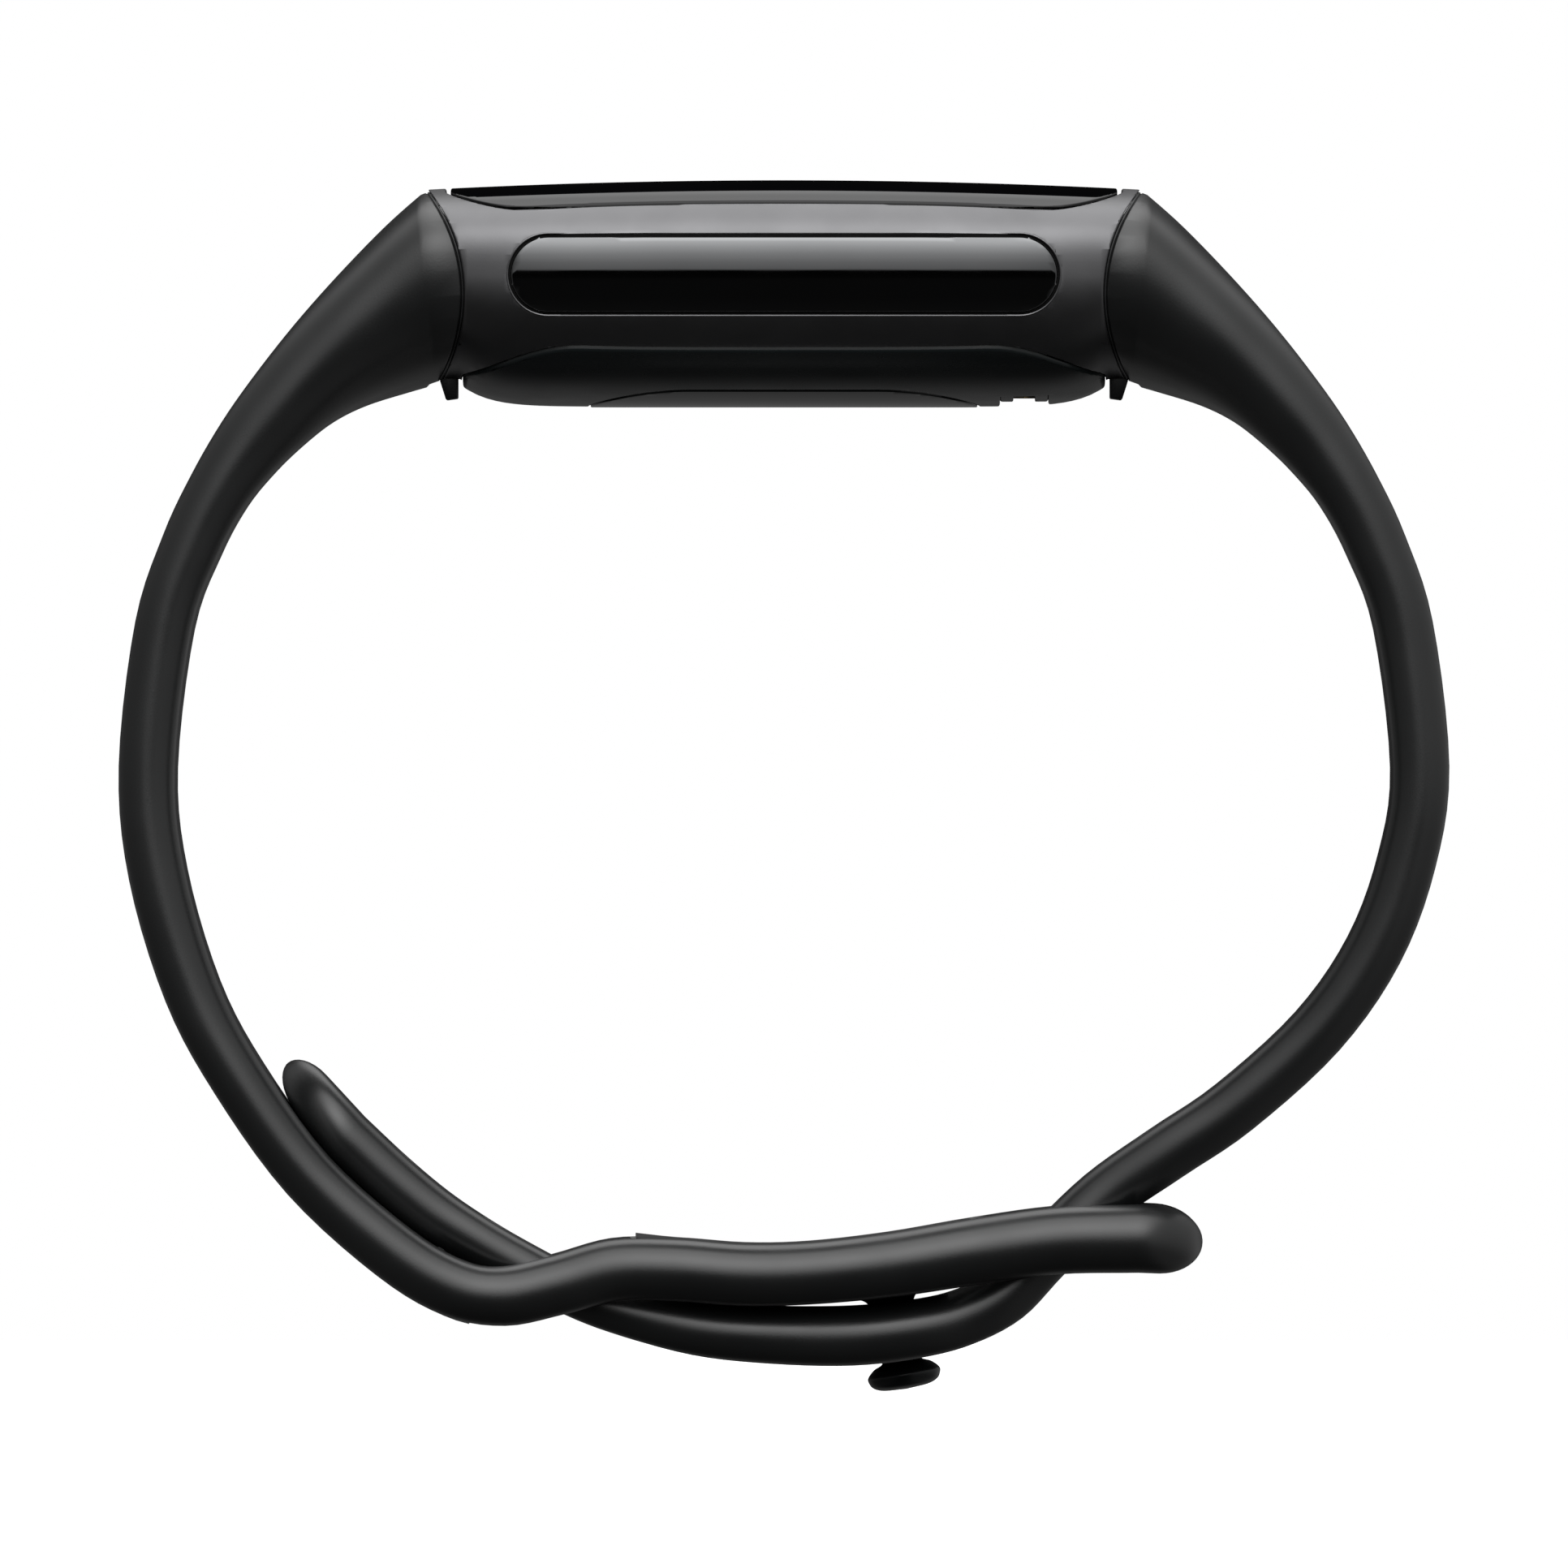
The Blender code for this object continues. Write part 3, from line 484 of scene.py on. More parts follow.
def path(points: Sequence[Row], steps: int) -> list[Row]:
    """Runs a Catmull-Rom curve through rows of numbers.

    Args:
        points: the rows, which may hold any number of values.
        steps: the number of rows in each span.

    Returns:
        The rows of the curve, as tuples.
    """
    rows = [Vector(p) for p in points]
    rows = [2 * rows[0] - rows[1], *rows, 2 * rows[-1] - rows[-2]]
    curve = []
    for a, b, c, d in zip(rows, rows[1:], rows[2:], rows[3:]):
        for i in range(steps):
            t = i / steps
            bend = (2 * a - 5 * b + 4 * c - d) * t**2 + (3 * b - a - 3 * c + d) * t**3
            curve.append(tuple(0.5 * (2 * b + (c - a) * t + bend)))
    return [*curve, tuple(rows[-2])]


def carved(base: BMesh, tools: Sequence[BMesh],
           operation: str = "DIFFERENCE") -> BMesh:
    """Runs exact Booleans on a closed mesh.

    Args:
        base: the mesh to change. It is used up.
        tools: the meshes to take away or to keep within. They are used up.
        operation: the Boolean's name.

    Returns:
        The result.
    """
    loose = []
    for index, bm in enumerate((base, *tools)):
        mesh = bpy.data.meshes.new(f"loose_{index}")
        bmesh.ops.recalc_face_normals(bm, faces=bm.faces)
        bm.to_mesh(mesh)
        bm.free()
        loose.append(bpy.data.objects.new(f"loose_{index}", mesh))
        bpy.context.scene.collection.objects.link(loose[-1])
    for other in loose[1:]:
        modifier = loose[0].modifiers.new("Carve", "BOOLEAN")
        modifier.operation = operation
        modifier.object = other
    bpy.context.view_layer.update()
    graph = bpy.context.evaluated_depsgraph_get()
    mesh = bpy.data.meshes.new_from_object(loose[0].evaluated_get(graph))
    result = bmesh.new()
    result.from_mesh(mesh)
    for obj in loose:
        bpy.data.objects.remove(obj)
    bpy.data.meshes.remove(mesh)
    return result


def softened(bm: BMesh, width: float, segments: int = 2, angle: float = 40.0,
             above: float = -math.inf) -> BMesh:
    """Rounds a carved mesh's sharp edges.

    Args:
        bm: the mesh to change.
        width: the rounding's width.
        segments: its number of facets.
        angle: the least angle between faces, in degrees, that counts as sharp.
        above: the height above which edges are rounded.

    Returns:
        The same mesh.
    """
    bmesh.ops.remove_doubles(bm, verts=bm.verts, dist=0.012 * MM)
    bmesh.ops.dissolve_degenerate(bm, dist=0.004 * MM, edges=bm.edges)
    least = math.radians(angle)
    sharp = [
        e for e in bm.edges
        if len(e.link_faces) == 2 and e.calc_face_angle(0.0) > least and e.verts[0].co.z > above * MM
    ]
    bevel(bm, sharp, width, segments)
    return bm


def add_piece(name: str, bm: BMesh, finish: Finish, body: str,
              stands_for: Sequence[str] = (), sharp: float = 40.0) -> bpy.types.Object:
    """Makes a finished piece of a mesh.

    Args:
        name: the piece's name.
        bm: its mesh, in metres. It is used up.
        finish: its finish.
        body: the body that it rides on, or "" to leave it unattached.
        stands_for: the frame's nodes that it stands for.
        sharp: the angle in degrees past which an edge isn't smoothed.

    Returns:
        The new object, at the origin.
    """
    bmesh.ops.recalc_face_normals(bm, faces=bm.faces)
    mesh = bpy.data.meshes.new(name)
    bm.to_mesh(mesh)
    bm.free()
    mesh.shade_smooth()
    mesh.set_sharp_from_angle(angle=math.radians(sharp))
    mesh.materials.append(finish.material())
    obj = bpy.data.objects.new(name, mesh)
    bpy.context.scene.collection.objects.link(obj)
    if stands_for:
        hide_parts(*stands_for)
    if body:
        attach(obj, body)
    LOG.info("%s: %d faces", name, len(mesh.polygons))
    return obj


# ---------------------------------------------------------------- tracker shell


@dataclass(frozen=True)
class Pebble:
    """The smooth pebble that the glass, housing and rear cover share their outside with."""

    crown_z: float = 32.33
    widest_z: float = 27.7
    back_z: float = 21.1
    half_width: float = 11.4
    crown_radius: float = 340.0
    end_narrowing: float = 0.9
    back_rise: float = 1.1
    back_rise_at: float = 16.25
    back_rise_power: float = 11.6
    upper_power: float = 3.3
    lower_power: float = 2.4
    end_x: float = 17.9
    reach: float = 19.0
    seam: tuple[Pair, ...] = ((17.9, 31.9), (16.0, 27.0), (17.3, 22.0))

    def section(self, x: float, angle: float) -> Vector:
        """Where the outside lies.

        Args:
            x: how far along the tracker.
            angle: the turn from +Y over the top.

        Returns:
            The point.
        """
        half = self.half_width - self.end_narrowing * (abs(x) / self.end_x) ** 4
        c, s = math.cos(angle), math.sin(angle)
        if s >= 0:
            power = self.upper_power
            height = self.crown_z - x * x / (2 * self.crown_radius) - self.widest_z
        else:
            power = self.lower_power
            rise = min(1.0, abs(x) / self.back_rise_at) ** self.back_rise_power
            height = self.widest_z - self.back_z - self.back_rise * rise
        y = half * math.copysign(abs(c) ** (2 / power), c)
        return Vector((x, y, self.widest_z + math.copysign(height * abs(s) ** (2 / power), s)))

    def solid(self, inset: float = 0.0, rows: int = 84, columns: int = 144) -> BMesh:
        """The whole pebble, drawn in by an inset on every side.

        Args:
            inset: how far its skin is drawn in, below 0 to stand it proud.
            rows: the number of cells along it.
            columns: the number of cells round it.

        Returns:
            The closed pebble.
        """
        def place(row: int, column: int) -> Vector:
            """A grid vertex's place.

            Args:
                row: its row.
                column: its column.

            Returns:
                The place in millimetres.
            """
            x = self.reach * (2 * row / rows - 1)
            point = self.section(x, 2 * math.pi * (column + 0.5) / columns)
            inward = Vector((0, -point.y, self.widest_z - point.z))
            return point + inward.normalized() * inset

        return tube(place, rows, columns)

    def side_y(self, x: float, z: float) -> float:
        """How far out the side wall lies at a place on it.

        Args:
            x: how far along the tracker.
            z: the height.

        Returns:
            The wall's y on the far side.
        """
        half = self.half_width - self.end_narrowing * (abs(x) / self.end_x) ** 4
        power = self.upper_power if z > self.widest_z else self.lower_power
        height = (self.crown_z if z > self.widest_z else 2 * self.widest_z - self.back_z) - self.widest_z
        return half * (1 - (abs(z - self.widest_z) / height) ** power) ** (1 / power)

    def seam_circle(self) -> Triple:
        """Centre (x, z) and radius of the arc where a strap meets the housing.

        Returns:
            The circle through the three seam points.
        """
        (x1, z1), (x2, z2), (x3, z3) = self.seam
        double = 2 * (x1 * (z2 - z3) + x2 * (z3 - z1) + x3 * (z1 - z2))
        a, b, c = x1 * x1 + z1 * z1, x2 * x2 + z2 * z2, x3 * x3 + z3 * z3
        centre_x = (a * (z2 - z3) + b * (z3 - z1) + c * (z1 - z2)) / double
        centre_z = (a * (x3 - x2) + b * (x1 - x3) + c * (x2 - x1)) / double
        return centre_x, centre_z, math.hypot(x1 - centre_x, z1 - centre_z)

    def seam_x(self, z: float, shift: float = 0.0) -> float:
        """How far out the seam lies at a height, moved outwards by a shift.

        Args:
            z: the height.
            shift: how far the seam is moved towards the strap.

        Returns:
            The seam's x at the strap with the holes.
        """
        centre_x, centre_z, radius = self.seam_circle()
        radius -= shift
        return centre_x - math.sqrt(max(radius * radius - (z - centre_z) ** 2, 0.0))

    def between_seams(self, shift: float = 0.0, steps: int = 40) -> BMesh:
        """The block of space between the two seams, each moved outwards by a shift.

        Args:
            shift: how far each seam is moved towards its strap.
            steps: the number of facets down each seam.

        Returns:
            The closed block.
        """
        centre_z = self.seam_circle()[1]
        heights = [centre_z + 6.9 * (1 - 2 * i / steps) for i in range(steps + 1)]
        right = [(self.seam_x(z, shift), z) for z in heights]
        return prism([(-x, z) for x, z in reversed(right)] + right, -14.0, 14.0)


PEBBLE = Pebble()


@dataclass(frozen=True)
class TrackerShell:
    """The tracker's outside: glass, housing, side electrodes, rear cover and sensor window."""

    glass: Triple = (16.8, 9.85, 4.3)
    glass_low: float = 30.85
    cover: Triple = (16.1, 10.4, 6.0)
    cover_draft: float = 0.6
    cover_proud: float = 0.12
    cover_top: float = 24.9
    cover_floor: float = 22.45
    cover_step: float = 23.7
    cavity: Triple = (13.1, 9.3, 3.0)
    window: Triple = (9.7, 6.4, 5.0)
    window_top: float = 21.95
    window_proud: float = 0.16
    sensor_opening: Triple = (6.0, 3.4, 1.5)
    inlay_depth: float = 0.02
    seam_gap: float = 0.07
    pill_half: Pair = (13.65, 1.86)
    pill_z: float = 27.53
    pill_inner_y: float = 10.25
    socket_half_width: float = 7.8
    socket_x: Pair = (13.7, 19.0)
    socket_z: Pair = (24.9, 29.5)
    button_x: Pair = (16.15, 19.0)
    button_half_width: float = 3.6
    past_wall: float = 13.0
    charge_x: float = 12.05
    charge_y: float = 2.3
    contact_hole: float = 0.7
    vent: Triple = (0.5, -12.0, 0.0)

    def build(self) -> None:
        """Makes every outside piece of the tracker."""
        self.build_glass()
        self.build_housing()
        for side, word in ((-1, "near"), (1, "far")):
            self.build_electrode(side, word)
        self.build_rear_cover()
        self.build_window()

    def build_glass(self) -> None:
        """Front glass, arched along its length and rolled over at its long edges."""
        lens = plate(grown(self.glass, -0.1), self.glass_low, PEBBLE.crown_z + 1)
        bm = softened(carved(PEBBLE.solid(), [lens], "INTERSECT"), 0.08, 3)
        add_piece("front_glass_lens", bm, Palette.GLASS, "tracker", ["cover_glass"])

    def build_housing(self) -> None:
        """Satin housing: a tube with seats for the glass, the cover, the pills and the plugs."""
        low, high = PEBBLE.back_z - 1, PEBBLE.crown_z + 1
        tools = [
            plate(grown(self.glass, 0.14), self.glass_low - 0.45, high),
            plate(grown(self.cover, self.seam_gap), low, self.cover_top + 0.1, draft=self.cover_draft),
            plate(self.cavity, low, high),
        ]
        for side in (-1, 1):
            inner, outer = sorted((side * self.pill_inner_y - side * 0.25, side * self.past_wall))
            tools.append(prism(self.pill_outline(0.14), inner, outer))
            tools.append(flank(side, self.socket_x, self.socket_half_width, self.socket_z))
            tools.append(flank(side, self.button_x, self.button_half_width, (low, self.socket_z[0] + 0.2)))
        body = carved(PEBBLE.solid(), [PEBBLE.between_seams()], "INTERSECT")
        bm = softened(carved(body, tools), 0.09, 3)
        add_piece("housing_shell", bm, Palette.HOUSING, "tracker", ["housing"])

    def pill_outline(self, by: float = 0.0, segments: int = 28) -> list[Pair]:
        """The side electrode's (x, z) outline, grown by a distance.

        Args:
            by: how much larger it is on every side.
            segments: the number of facets round each end.

        Returns:
            The outline's points.
        """
        half_length, half_height = self.pill_half
        outline = []
        for side in (1, -1):
            for i in range(segments + 1):
                t = -side * math.pi / 2 + math.pi * i / segments
                outline.append((
                    side * (half_length - half_height) + (half_height + by) * math.cos(t),
                    self.pill_z + (half_height + by) * math.sin(t),
                ))
        return outline

    def build_electrode(self, side: int, word: str) -> None:
        """Polished pill inlay with its gasket, on one side wall.

        Args:
            side: 1 for the wall at +Y, -1 for the one at -Y.
            word: the wall's word in the pieces' names.
        """
        inner, outer = sorted((side * self.pill_inner_y, side * self.past_wall))
        pill = prism(self.pill_outline(), inner, outer)
        inlay = carved(PEBBLE.solid(self.inlay_depth), [pill], "INTERSECT")
        softened(inlay, 0.045, 3)
        add_piece(f"electrode_inlay_{word}", inlay, Palette.ELECTRODE, "tracker",
                  [f"side_electrode_{word}"])
        ring = carved(PEBBLE.solid(0.12), [prism(self.pill_outline(0.13), inner, outer)], "INTERSECT")
        ring = carved(ring, [prism(self.pill_outline(0.02), inner - 1, outer + 1)])
        add_piece(f"electrode_seal_{word}", ring, Palette.GASKET_AND_GAP_SHADE, "tracker",
                  [f"electrode_gasket_{word}"])
        path_points = []
        for x, z in self.pill_outline(0.2):
            path_points.append(Vector((x, side * (PEBBLE.side_y(x, z) - 0.035), z)))
        add_piece(f"electrode_lip_{word}", bead(path_points, 0.06), Palette.HOUSING, "tracker")

    def build_rear_cover(self) -> None:
        """Rear cover as a tray, with its window seat, charging recess and vent."""
        low, high = PEBBLE.back_z - 1, self.cover_top + 1
        tools = [
            plate((13.1, 8.5, 3.0), self.cover_step, high),
            plate((13.1, 7.0, 3.0), self.cover_floor, high),
            plate(grown(self.window, self.seam_gap), low, self.window_top + 0.1),
            plate(self.sensor_opening, low, high),
            block((self.charge_x - 1.22, -5.0, low), (self.charge_x + 1.22, 5.0, 22.3)),
            bore(*self.vent, (low, high)),
        ]
        outline = plate(self.cover, low, self.cover_top, draft=self.cover_draft)
        body = carved(PEBBLE.solid(-self.cover_proud), [outline], "INTERSECT")
        bm = softened(carved(body, tools + self.contact_bores(low, high)), 0.1, 3)
        add_piece("rear_cover_tray", bm, Palette.COVER, "tracker", ["rear_cover"])
        rim = block((self.charge_x - 1.2, -4.98, 21.24), (self.charge_x + 1.2, 4.98, 22.28), 0.1)
        channel = block((self.charge_x - 0.55, -4.4, low), (self.charge_x + 0.55, 4.4, 21.55), 0.12)
        rim = carved(rim, [channel, *self.contact_bores(low, high)])
        rim = carved(rim, [PEBBLE.solid(self.inlay_depth)], "INTERSECT")
        add_piece("charging_recess_rim", softened(rim, 0.05, 2), Palette.PEG, "tracker")

    def contact_bores(self, *heights: float) -> list[BMesh]:
        """Cutters for the two charging contacts' holes."""
        return [bore(self.contact_hole, self.charge_x, side * self.charge_y, heights) for side in (-1, 1)]

    def build_window(self) -> None:
        """Raised window of dark glass over the optical sensor."""
        outline = plate(self.window, PEBBLE.back_z - 1, self.window_top)
        bm = carved(PEBBLE.solid(-self.window_proud), [outline], "INTERSECT")
        softened(bm, 0.06, 3)
        add_piece("sensor_window_lens", bm, Palette.SENSOR_GLASS, "tracker",
                  ["sensor_window"])


# ---------------------------------------------------------------- straps


@dataclass(frozen=True)
class Slot:
    """A slot through the loop strap, by the x where it starts and ends on each face.

    The swells are how far each face stands proud beside the slot's start and its end.
    """

    outer_x: Pair
    inner_x: Pair
    outer_swell: Pair = (0.0, 0.0)
    inner_swell: Pair = (0.0, 0.0)


@dataclass(frozen=True)
class Strap:
    """One strap, from its seam with the tracker to its tip.

    The root stations hold the outer point (x, z), the inner point (x, z) and the half width,
    for the strap at +X. The line holds the centre (x, z), the thickness and the half width.
    """

    side: int
    line: tuple[Row, ...]
    tip: Pair
    tip_corner: float
    slots: tuple[Slot, ...] = ()
    root: tuple[Row, ...] = (
        (20.04, 29.98, 18.7, 21.72, 10.3),
        (22.4, 27.54, 20.94, 21.02, 10.1),
        (24.55, 25.09, 22.6, 20.2, 9.9),
        (26.45, 22.65, 24.1, 19.05, 9.75),
        (28.15, 20.2, 25.5, 17.75, 9.6),
        (29.7, 17.5, 26.95, 16.0, 9.5),
        (31.1, 14.5, 28.3, 13.5, 9.4),
    )
    lip: Row = (17.8, 31.88, 17.2, 22.16, 10.5)
    mouth: Row = (18.22, 31.6, 17.35, 22.1, 10.48)
    mouth_gap: float = 0.17
    lip_shift: float = -0.35
    band_thickness: float = 2.85
    root_thickness: float = 9.6
    round_steps: int = 14
    flat_shares: tuple[float, ...] = (1, 0.93, 0.76, 0.58, 0.4, 0.2, 0, -0.2, -0.4, -0.58, -0.76, -0.93, -1)
    swell_reach: float = 3.6
    span_steps: int = 5
    tip_steps: int = 14
    tip_bluntness: float = 1.35
    tip_taper: float = 0.0
    slot_corner: float = 0.6
    slot_rim: float = 0.4

    def rows(self) -> list[Row]:
        """Rows (outer x, outer z, inner x, inner z, half width) along the whole strap.

        Returns:
            The rows, from the seam to the tip.
        """
        upper = (self.lip, self.mouth, *self.root)
        stations = [(self.side * a, b, self.side * c, d, e) for a, b, c, d, e in upper]
        for index, (x, z, thickness, half) in enumerate(self.line):
            ahead = self.line[min(index + 1, len(self.line) - 1)]
            behind = self.line[max(index - 1, 0)]
            along = Vector((ahead[0] - behind[0], ahead[1] - behind[1])).normalized()
            out = Vector((-along.y, along.x)) * self.side * thickness / 2
            stations.append((x + out.x, z + out.y, x - out.x, z - out.y, half))
        rows = path(stations, self.span_steps)
        return rows + self.tip_rows(rows[-1])

    def tip_rows(self, row: Row) -> list[Row]:
        """Rows that round the strap off towards its tip, in plan and in thickness.

        Args:
            row: the last full row.

        Returns:
            The rows beyond it.
        """
        outer, inner = Vector((row[0], row[1])), Vector((row[2], row[3]))
        middle, out = (outer + inner) / 2, (outer - inner) / 2
        reach = Vector(self.tip) - middle
        blunt = out.length * self.tip_bluntness / reach.length
        rows = []
        for i in range(1, self.tip_steps + 1):
            turn = 0.49 * math.pi * i / self.tip_steps
            place = middle + reach * math.sin(turn)
            into_end = max(0.0, 1 - (1 - math.sin(turn)) / blunt)
            thin = math.sqrt(1 - into_end**2) * (1 - self.tip_taper * math.sin(turn))
            width = row[4] - self.tip_corner + self.tip_corner * math.cos(turn)
            rows.append((*(place + out * thin), *(place - out * thin), width))
        return rows

    def ring(self) -> list[Triple]:
        """The section's points: (flat share, cosine, sine) round the +Y edge and over the outside.

        Returns:
            The points, once round.
        """
        turns = [math.pi * (i / self.round_steps - 0.5) for i in range(self.round_steps + 1)]
        edge = [(1.0, math.cos(t), math.sin(t)) for t in turns]
        top = [(share, 0.0, 1.0) for share in self.flat_shares[1:-1]]
        back = [(-share, -c, -s) for share, c, s in edge + top]
        return edge + top + back

    def point(self, row: Row, spot: Triple, swell: float = 0.0) -> Vector:
        """Where a section's point lies: a full-round band, or deep and square near the tracker.

        Args:
            row: the row that the section stands on.
            spot: the section's point, as ring gives it.
            swell: how far the flat faces stand proud there.

        Returns:
            The point.
        """
        outer, inner, half = Vector((row[0], 0, row[1])), Vector((row[2], 0, row[3])), row[4]
        thickness = (outer - inner).length
        share = (thickness - self.band_thickness) / (self.root_thickness - self.band_thickness)
        share = min(max(share, 0.0), 1.0)
        share = share * share * (3 - 2 * share)
        flat, cosine, sine = spot
        radius = min(thickness / 2, half)
        across = flat * (half - radius) + cosine * radius
        power = PEBBLE.upper_power if sine > 0 else PEBBLE.lower_power
        a, b = abs(across) / half, abs(sine)
        square = (a**power + b**power) ** (-1 / power)
        grow = 1 + share * (square - 1)
        middle = inner.lerp(outer, 0.5 + 0.08 * share)
        depth = (outer - middle) if sine > 0 else (middle - inner)
        proud = (outer - inner).normalized() * swell * (1 if sine > 0 else -1)
        return middle + depth * sine * grow + Vector((0, across * grow, 0)) + proud

    def swell(self, x: float, outer: bool) -> float:
        """How far a flat face stands proud at x, beside the slots.

        Args:
            x: the place along the band.
            outer: whether it is the outer face.

        Returns:
            The height in millimetres.
        """
        proud = 0.0
        for slot in self.slots:
            start, end = slot.outer_x if outer else slot.inner_x
            before, after = slot.outer_swell if outer else slot.inner_swell
            for height, gap in ((before, start - x), (after, x - end)):
                if gap > -0.4:
                    proud = max(proud, height * max(0.0, 1 - max(gap, 0.0) / self.swell_reach) ** 2)
        return proud

    def mesh(self, first: int, last: int, inset: float = 0.0) -> BMesh:
        """The strap's mesh between two rows, with its slots open and their rims rounded.

        Args:
            first: the index of its first row.
            last: the index of its last row.
            inset: how far its skin is drawn in.

        Returns:
            The closed mesh.
        """
        rows, ring = self.rows()[first:last + 1], self.ring()

        def place(index: int, column: int) -> Vector:
            """A grid vertex's place.

            Args:
                index: its row.
                column: its column.

            Returns:
                The place in millimetres.
            """
            row, spot = rows[index], ring[column]
            flat = abs(spot[1]) < 1e-6 and abs(spot[0]) < 0.95
            outer = spot[2] > 0
            proud = self.swell(row[0] if outer else row[2], outer) if flat and row[1] < 0 else 0.0
            proud *= max(0.0, 1 - (spot[0] / 0.93) ** 4)
            point = self.point(row, spot, proud)
            if first == 0 and index < self.span_steps:
                share = index / self.span_steps
                shift = self.lip_shift * (1 - share) + self.mouth_gap * share
                point.x = self.side * PEBBLE.seam_x(point.z, shift)
            if inset:
                middle = Vector(((row[0] + row[2]) / 2, 0, (row[1] + row[3]) / 2))
                reach = Vector((0, point.y - middle.y, point.z - middle.z))
                point -= reach.normalized() * inset
            return point

        bm = tube(place, len(rows) - 1, len(ring))
        for slot in self.slots if last > 2 * self.span_steps else ():
            self.open_slot(bm, slot, rows, len(ring))
        return bm

    def open_slot(self, bm: BMesh, slot: Slot, rows: Sequence[Row], columns: int) -> None:
        """Opens one slot through the strap.

        Args:
            bm: the strap's mesh.
            slot: the slot to open.
            rows: the strap's rows.
            columns: the number of cells round the strap.
        """
        cell = bm.faces.layers.int["cell"]
        flats = len(self.flat_shares) - 1
        outer = range(self.round_steps + 1, self.round_steps + flats - 1)
        inner = range(outer.start + columns // 2, outer.stop + columns // 2)
        gone = []
        for face in bm.faces:
            if not face[cell]:
                continue
            row, column = divmod(face[cell] - 1, columns)
            middle = [(a + b) / 2 for a, b in zip(rows[row], rows[row + 1])]
            low = middle[1] < 0 and middle[3] < 0
            if low and column in outer and slot.outer_x[0] < middle[0] < slot.outer_x[1]:
                gone.append(face)
            if low and column in inner and slot.inner_x[0] < middle[2] < slot.inner_x[1]:
                gone.append(face)
        bmesh.ops.delete(bm, geom=gone, context="FACES")
        rims = [e for e in bm.edges if e.is_boundary]
        walls = bmesh.ops.bridge_loops(bm, edges=rims)["faces"]
        for face in walls:
            face[cell] = 0
        bm.normal_update()
        inside = set(walls)
        corners = [
            e for e in bm.edges
            if len(e.link_faces) == 2 and set(e.link_faces) <= inside and e.calc_face_angle(0.0) > 0.8
        ]
        bevel(bm, corners, self.slot_corner, 4, clamp=True)
        rims = [
            e for e in bm.edges
            if len(e.link_faces) == 2 and e.calc_face_angle(0.0) > 0.7
            and (e.link_faces[0][cell] == 0) != (e.link_faces[1][cell] == 0)
            and e.verts[0].co.z < 0
        ]
        bevel(bm, rims, self.slot_rim, 4, clamp=True)


LOOP_STRAP = Strap(
    side=-1,
    line=(
        (-31.06, 10.0, 2.88, 9.3),
        (-31.9, 2.9, 2.84, 9.2),
        (-31.4, -2.5, 2.86, 9.2),
        (-29.67, -8.33, 2.82, 9.2),
        (-27.34, -12.73, 2.78, 9.25),
        (-23.83, -17.56, 2.82, 9.3),
        (-19.53, -21.42, 2.9, 9.4),
        (-16.5, -23.2, 2.95, 9.4),
        (-14.0, -23.6, 3.0, 9.4),
        (-11.3, -23.05, 3.0, 9.4),
        (-8.5, -22.32, 3.08, 9.4),
        (-5.5, -22.3, 3.1, 9.4),
        (-2.0, -22.55, 3.1, 9.4),
        (1.4, -22.47, 3.1, 9.4),
        (5.46, -22.05, 3.2, 9.4),
        (9.53, -21.4, 3.3, 9.4),
        (13.6, -20.85, 3.35, 9.4),
        (17.7, -20.72, 3.45, 9.4),
    ),
    tip=(20.98, -20.85),
    tip_corner=4.5,
    slots=(
        Slot((-16.0, -5.1), (-17.6, -7.75), outer_swell=(0.1, 0.0), inner_swell=(0.0, 0.26)),
        Slot((8.0, 16.6), (8.9, 17.65)),
    ),
)
HOLE_STRAP = Strap(
    side=1,
    line=(
        (31.06, 10.0, 2.88, 9.3),
        (31.9, 2.9, 2.84, 9.2),
        (31.25, -1.8, 2.84, 9.0),
        (29.6, -6.27, 2.84, 8.7),
        (26.77, -10.35, 2.84, 8.3),
        (22.6, -14.15, 2.84, 7.8),
        (19.2, -16.46, 2.84, 7.4),
        (16.0, -18.7, 2.8, 7.0),
        (13.1, -21.5, 2.8, 7.0),
        (11.1, -23.6, 2.8, 7.0),
        (8.97, -24.72, 2.8, 7.0),
        (6.6, -25.3, 2.88, 7.2),
        (3.4, -25.64, 2.94, 7.2),
        (-0.55, -25.6, 2.84, 7.2),
        (-4.4, -25.26, 2.66, 7.15),
        (-8.35, -24.3, 2.4, 7.0),
        (-10.9, -23.3, 2.35, 7.0),
        (-13.42, -21.97, 2.3, 7.0),
        (-15.5, -20.78, 2.36, 7.0),
        (-17.65, -19.44, 2.58, 7.0),
        (-19.79, -17.67, 2.61, 7.0),
        (-21.95, -15.65, 2.62, 7.0),
    ),
    tip=(-24.95, -12.0),
    tip_corner=6.3,
    tip_taper=0.2,
)


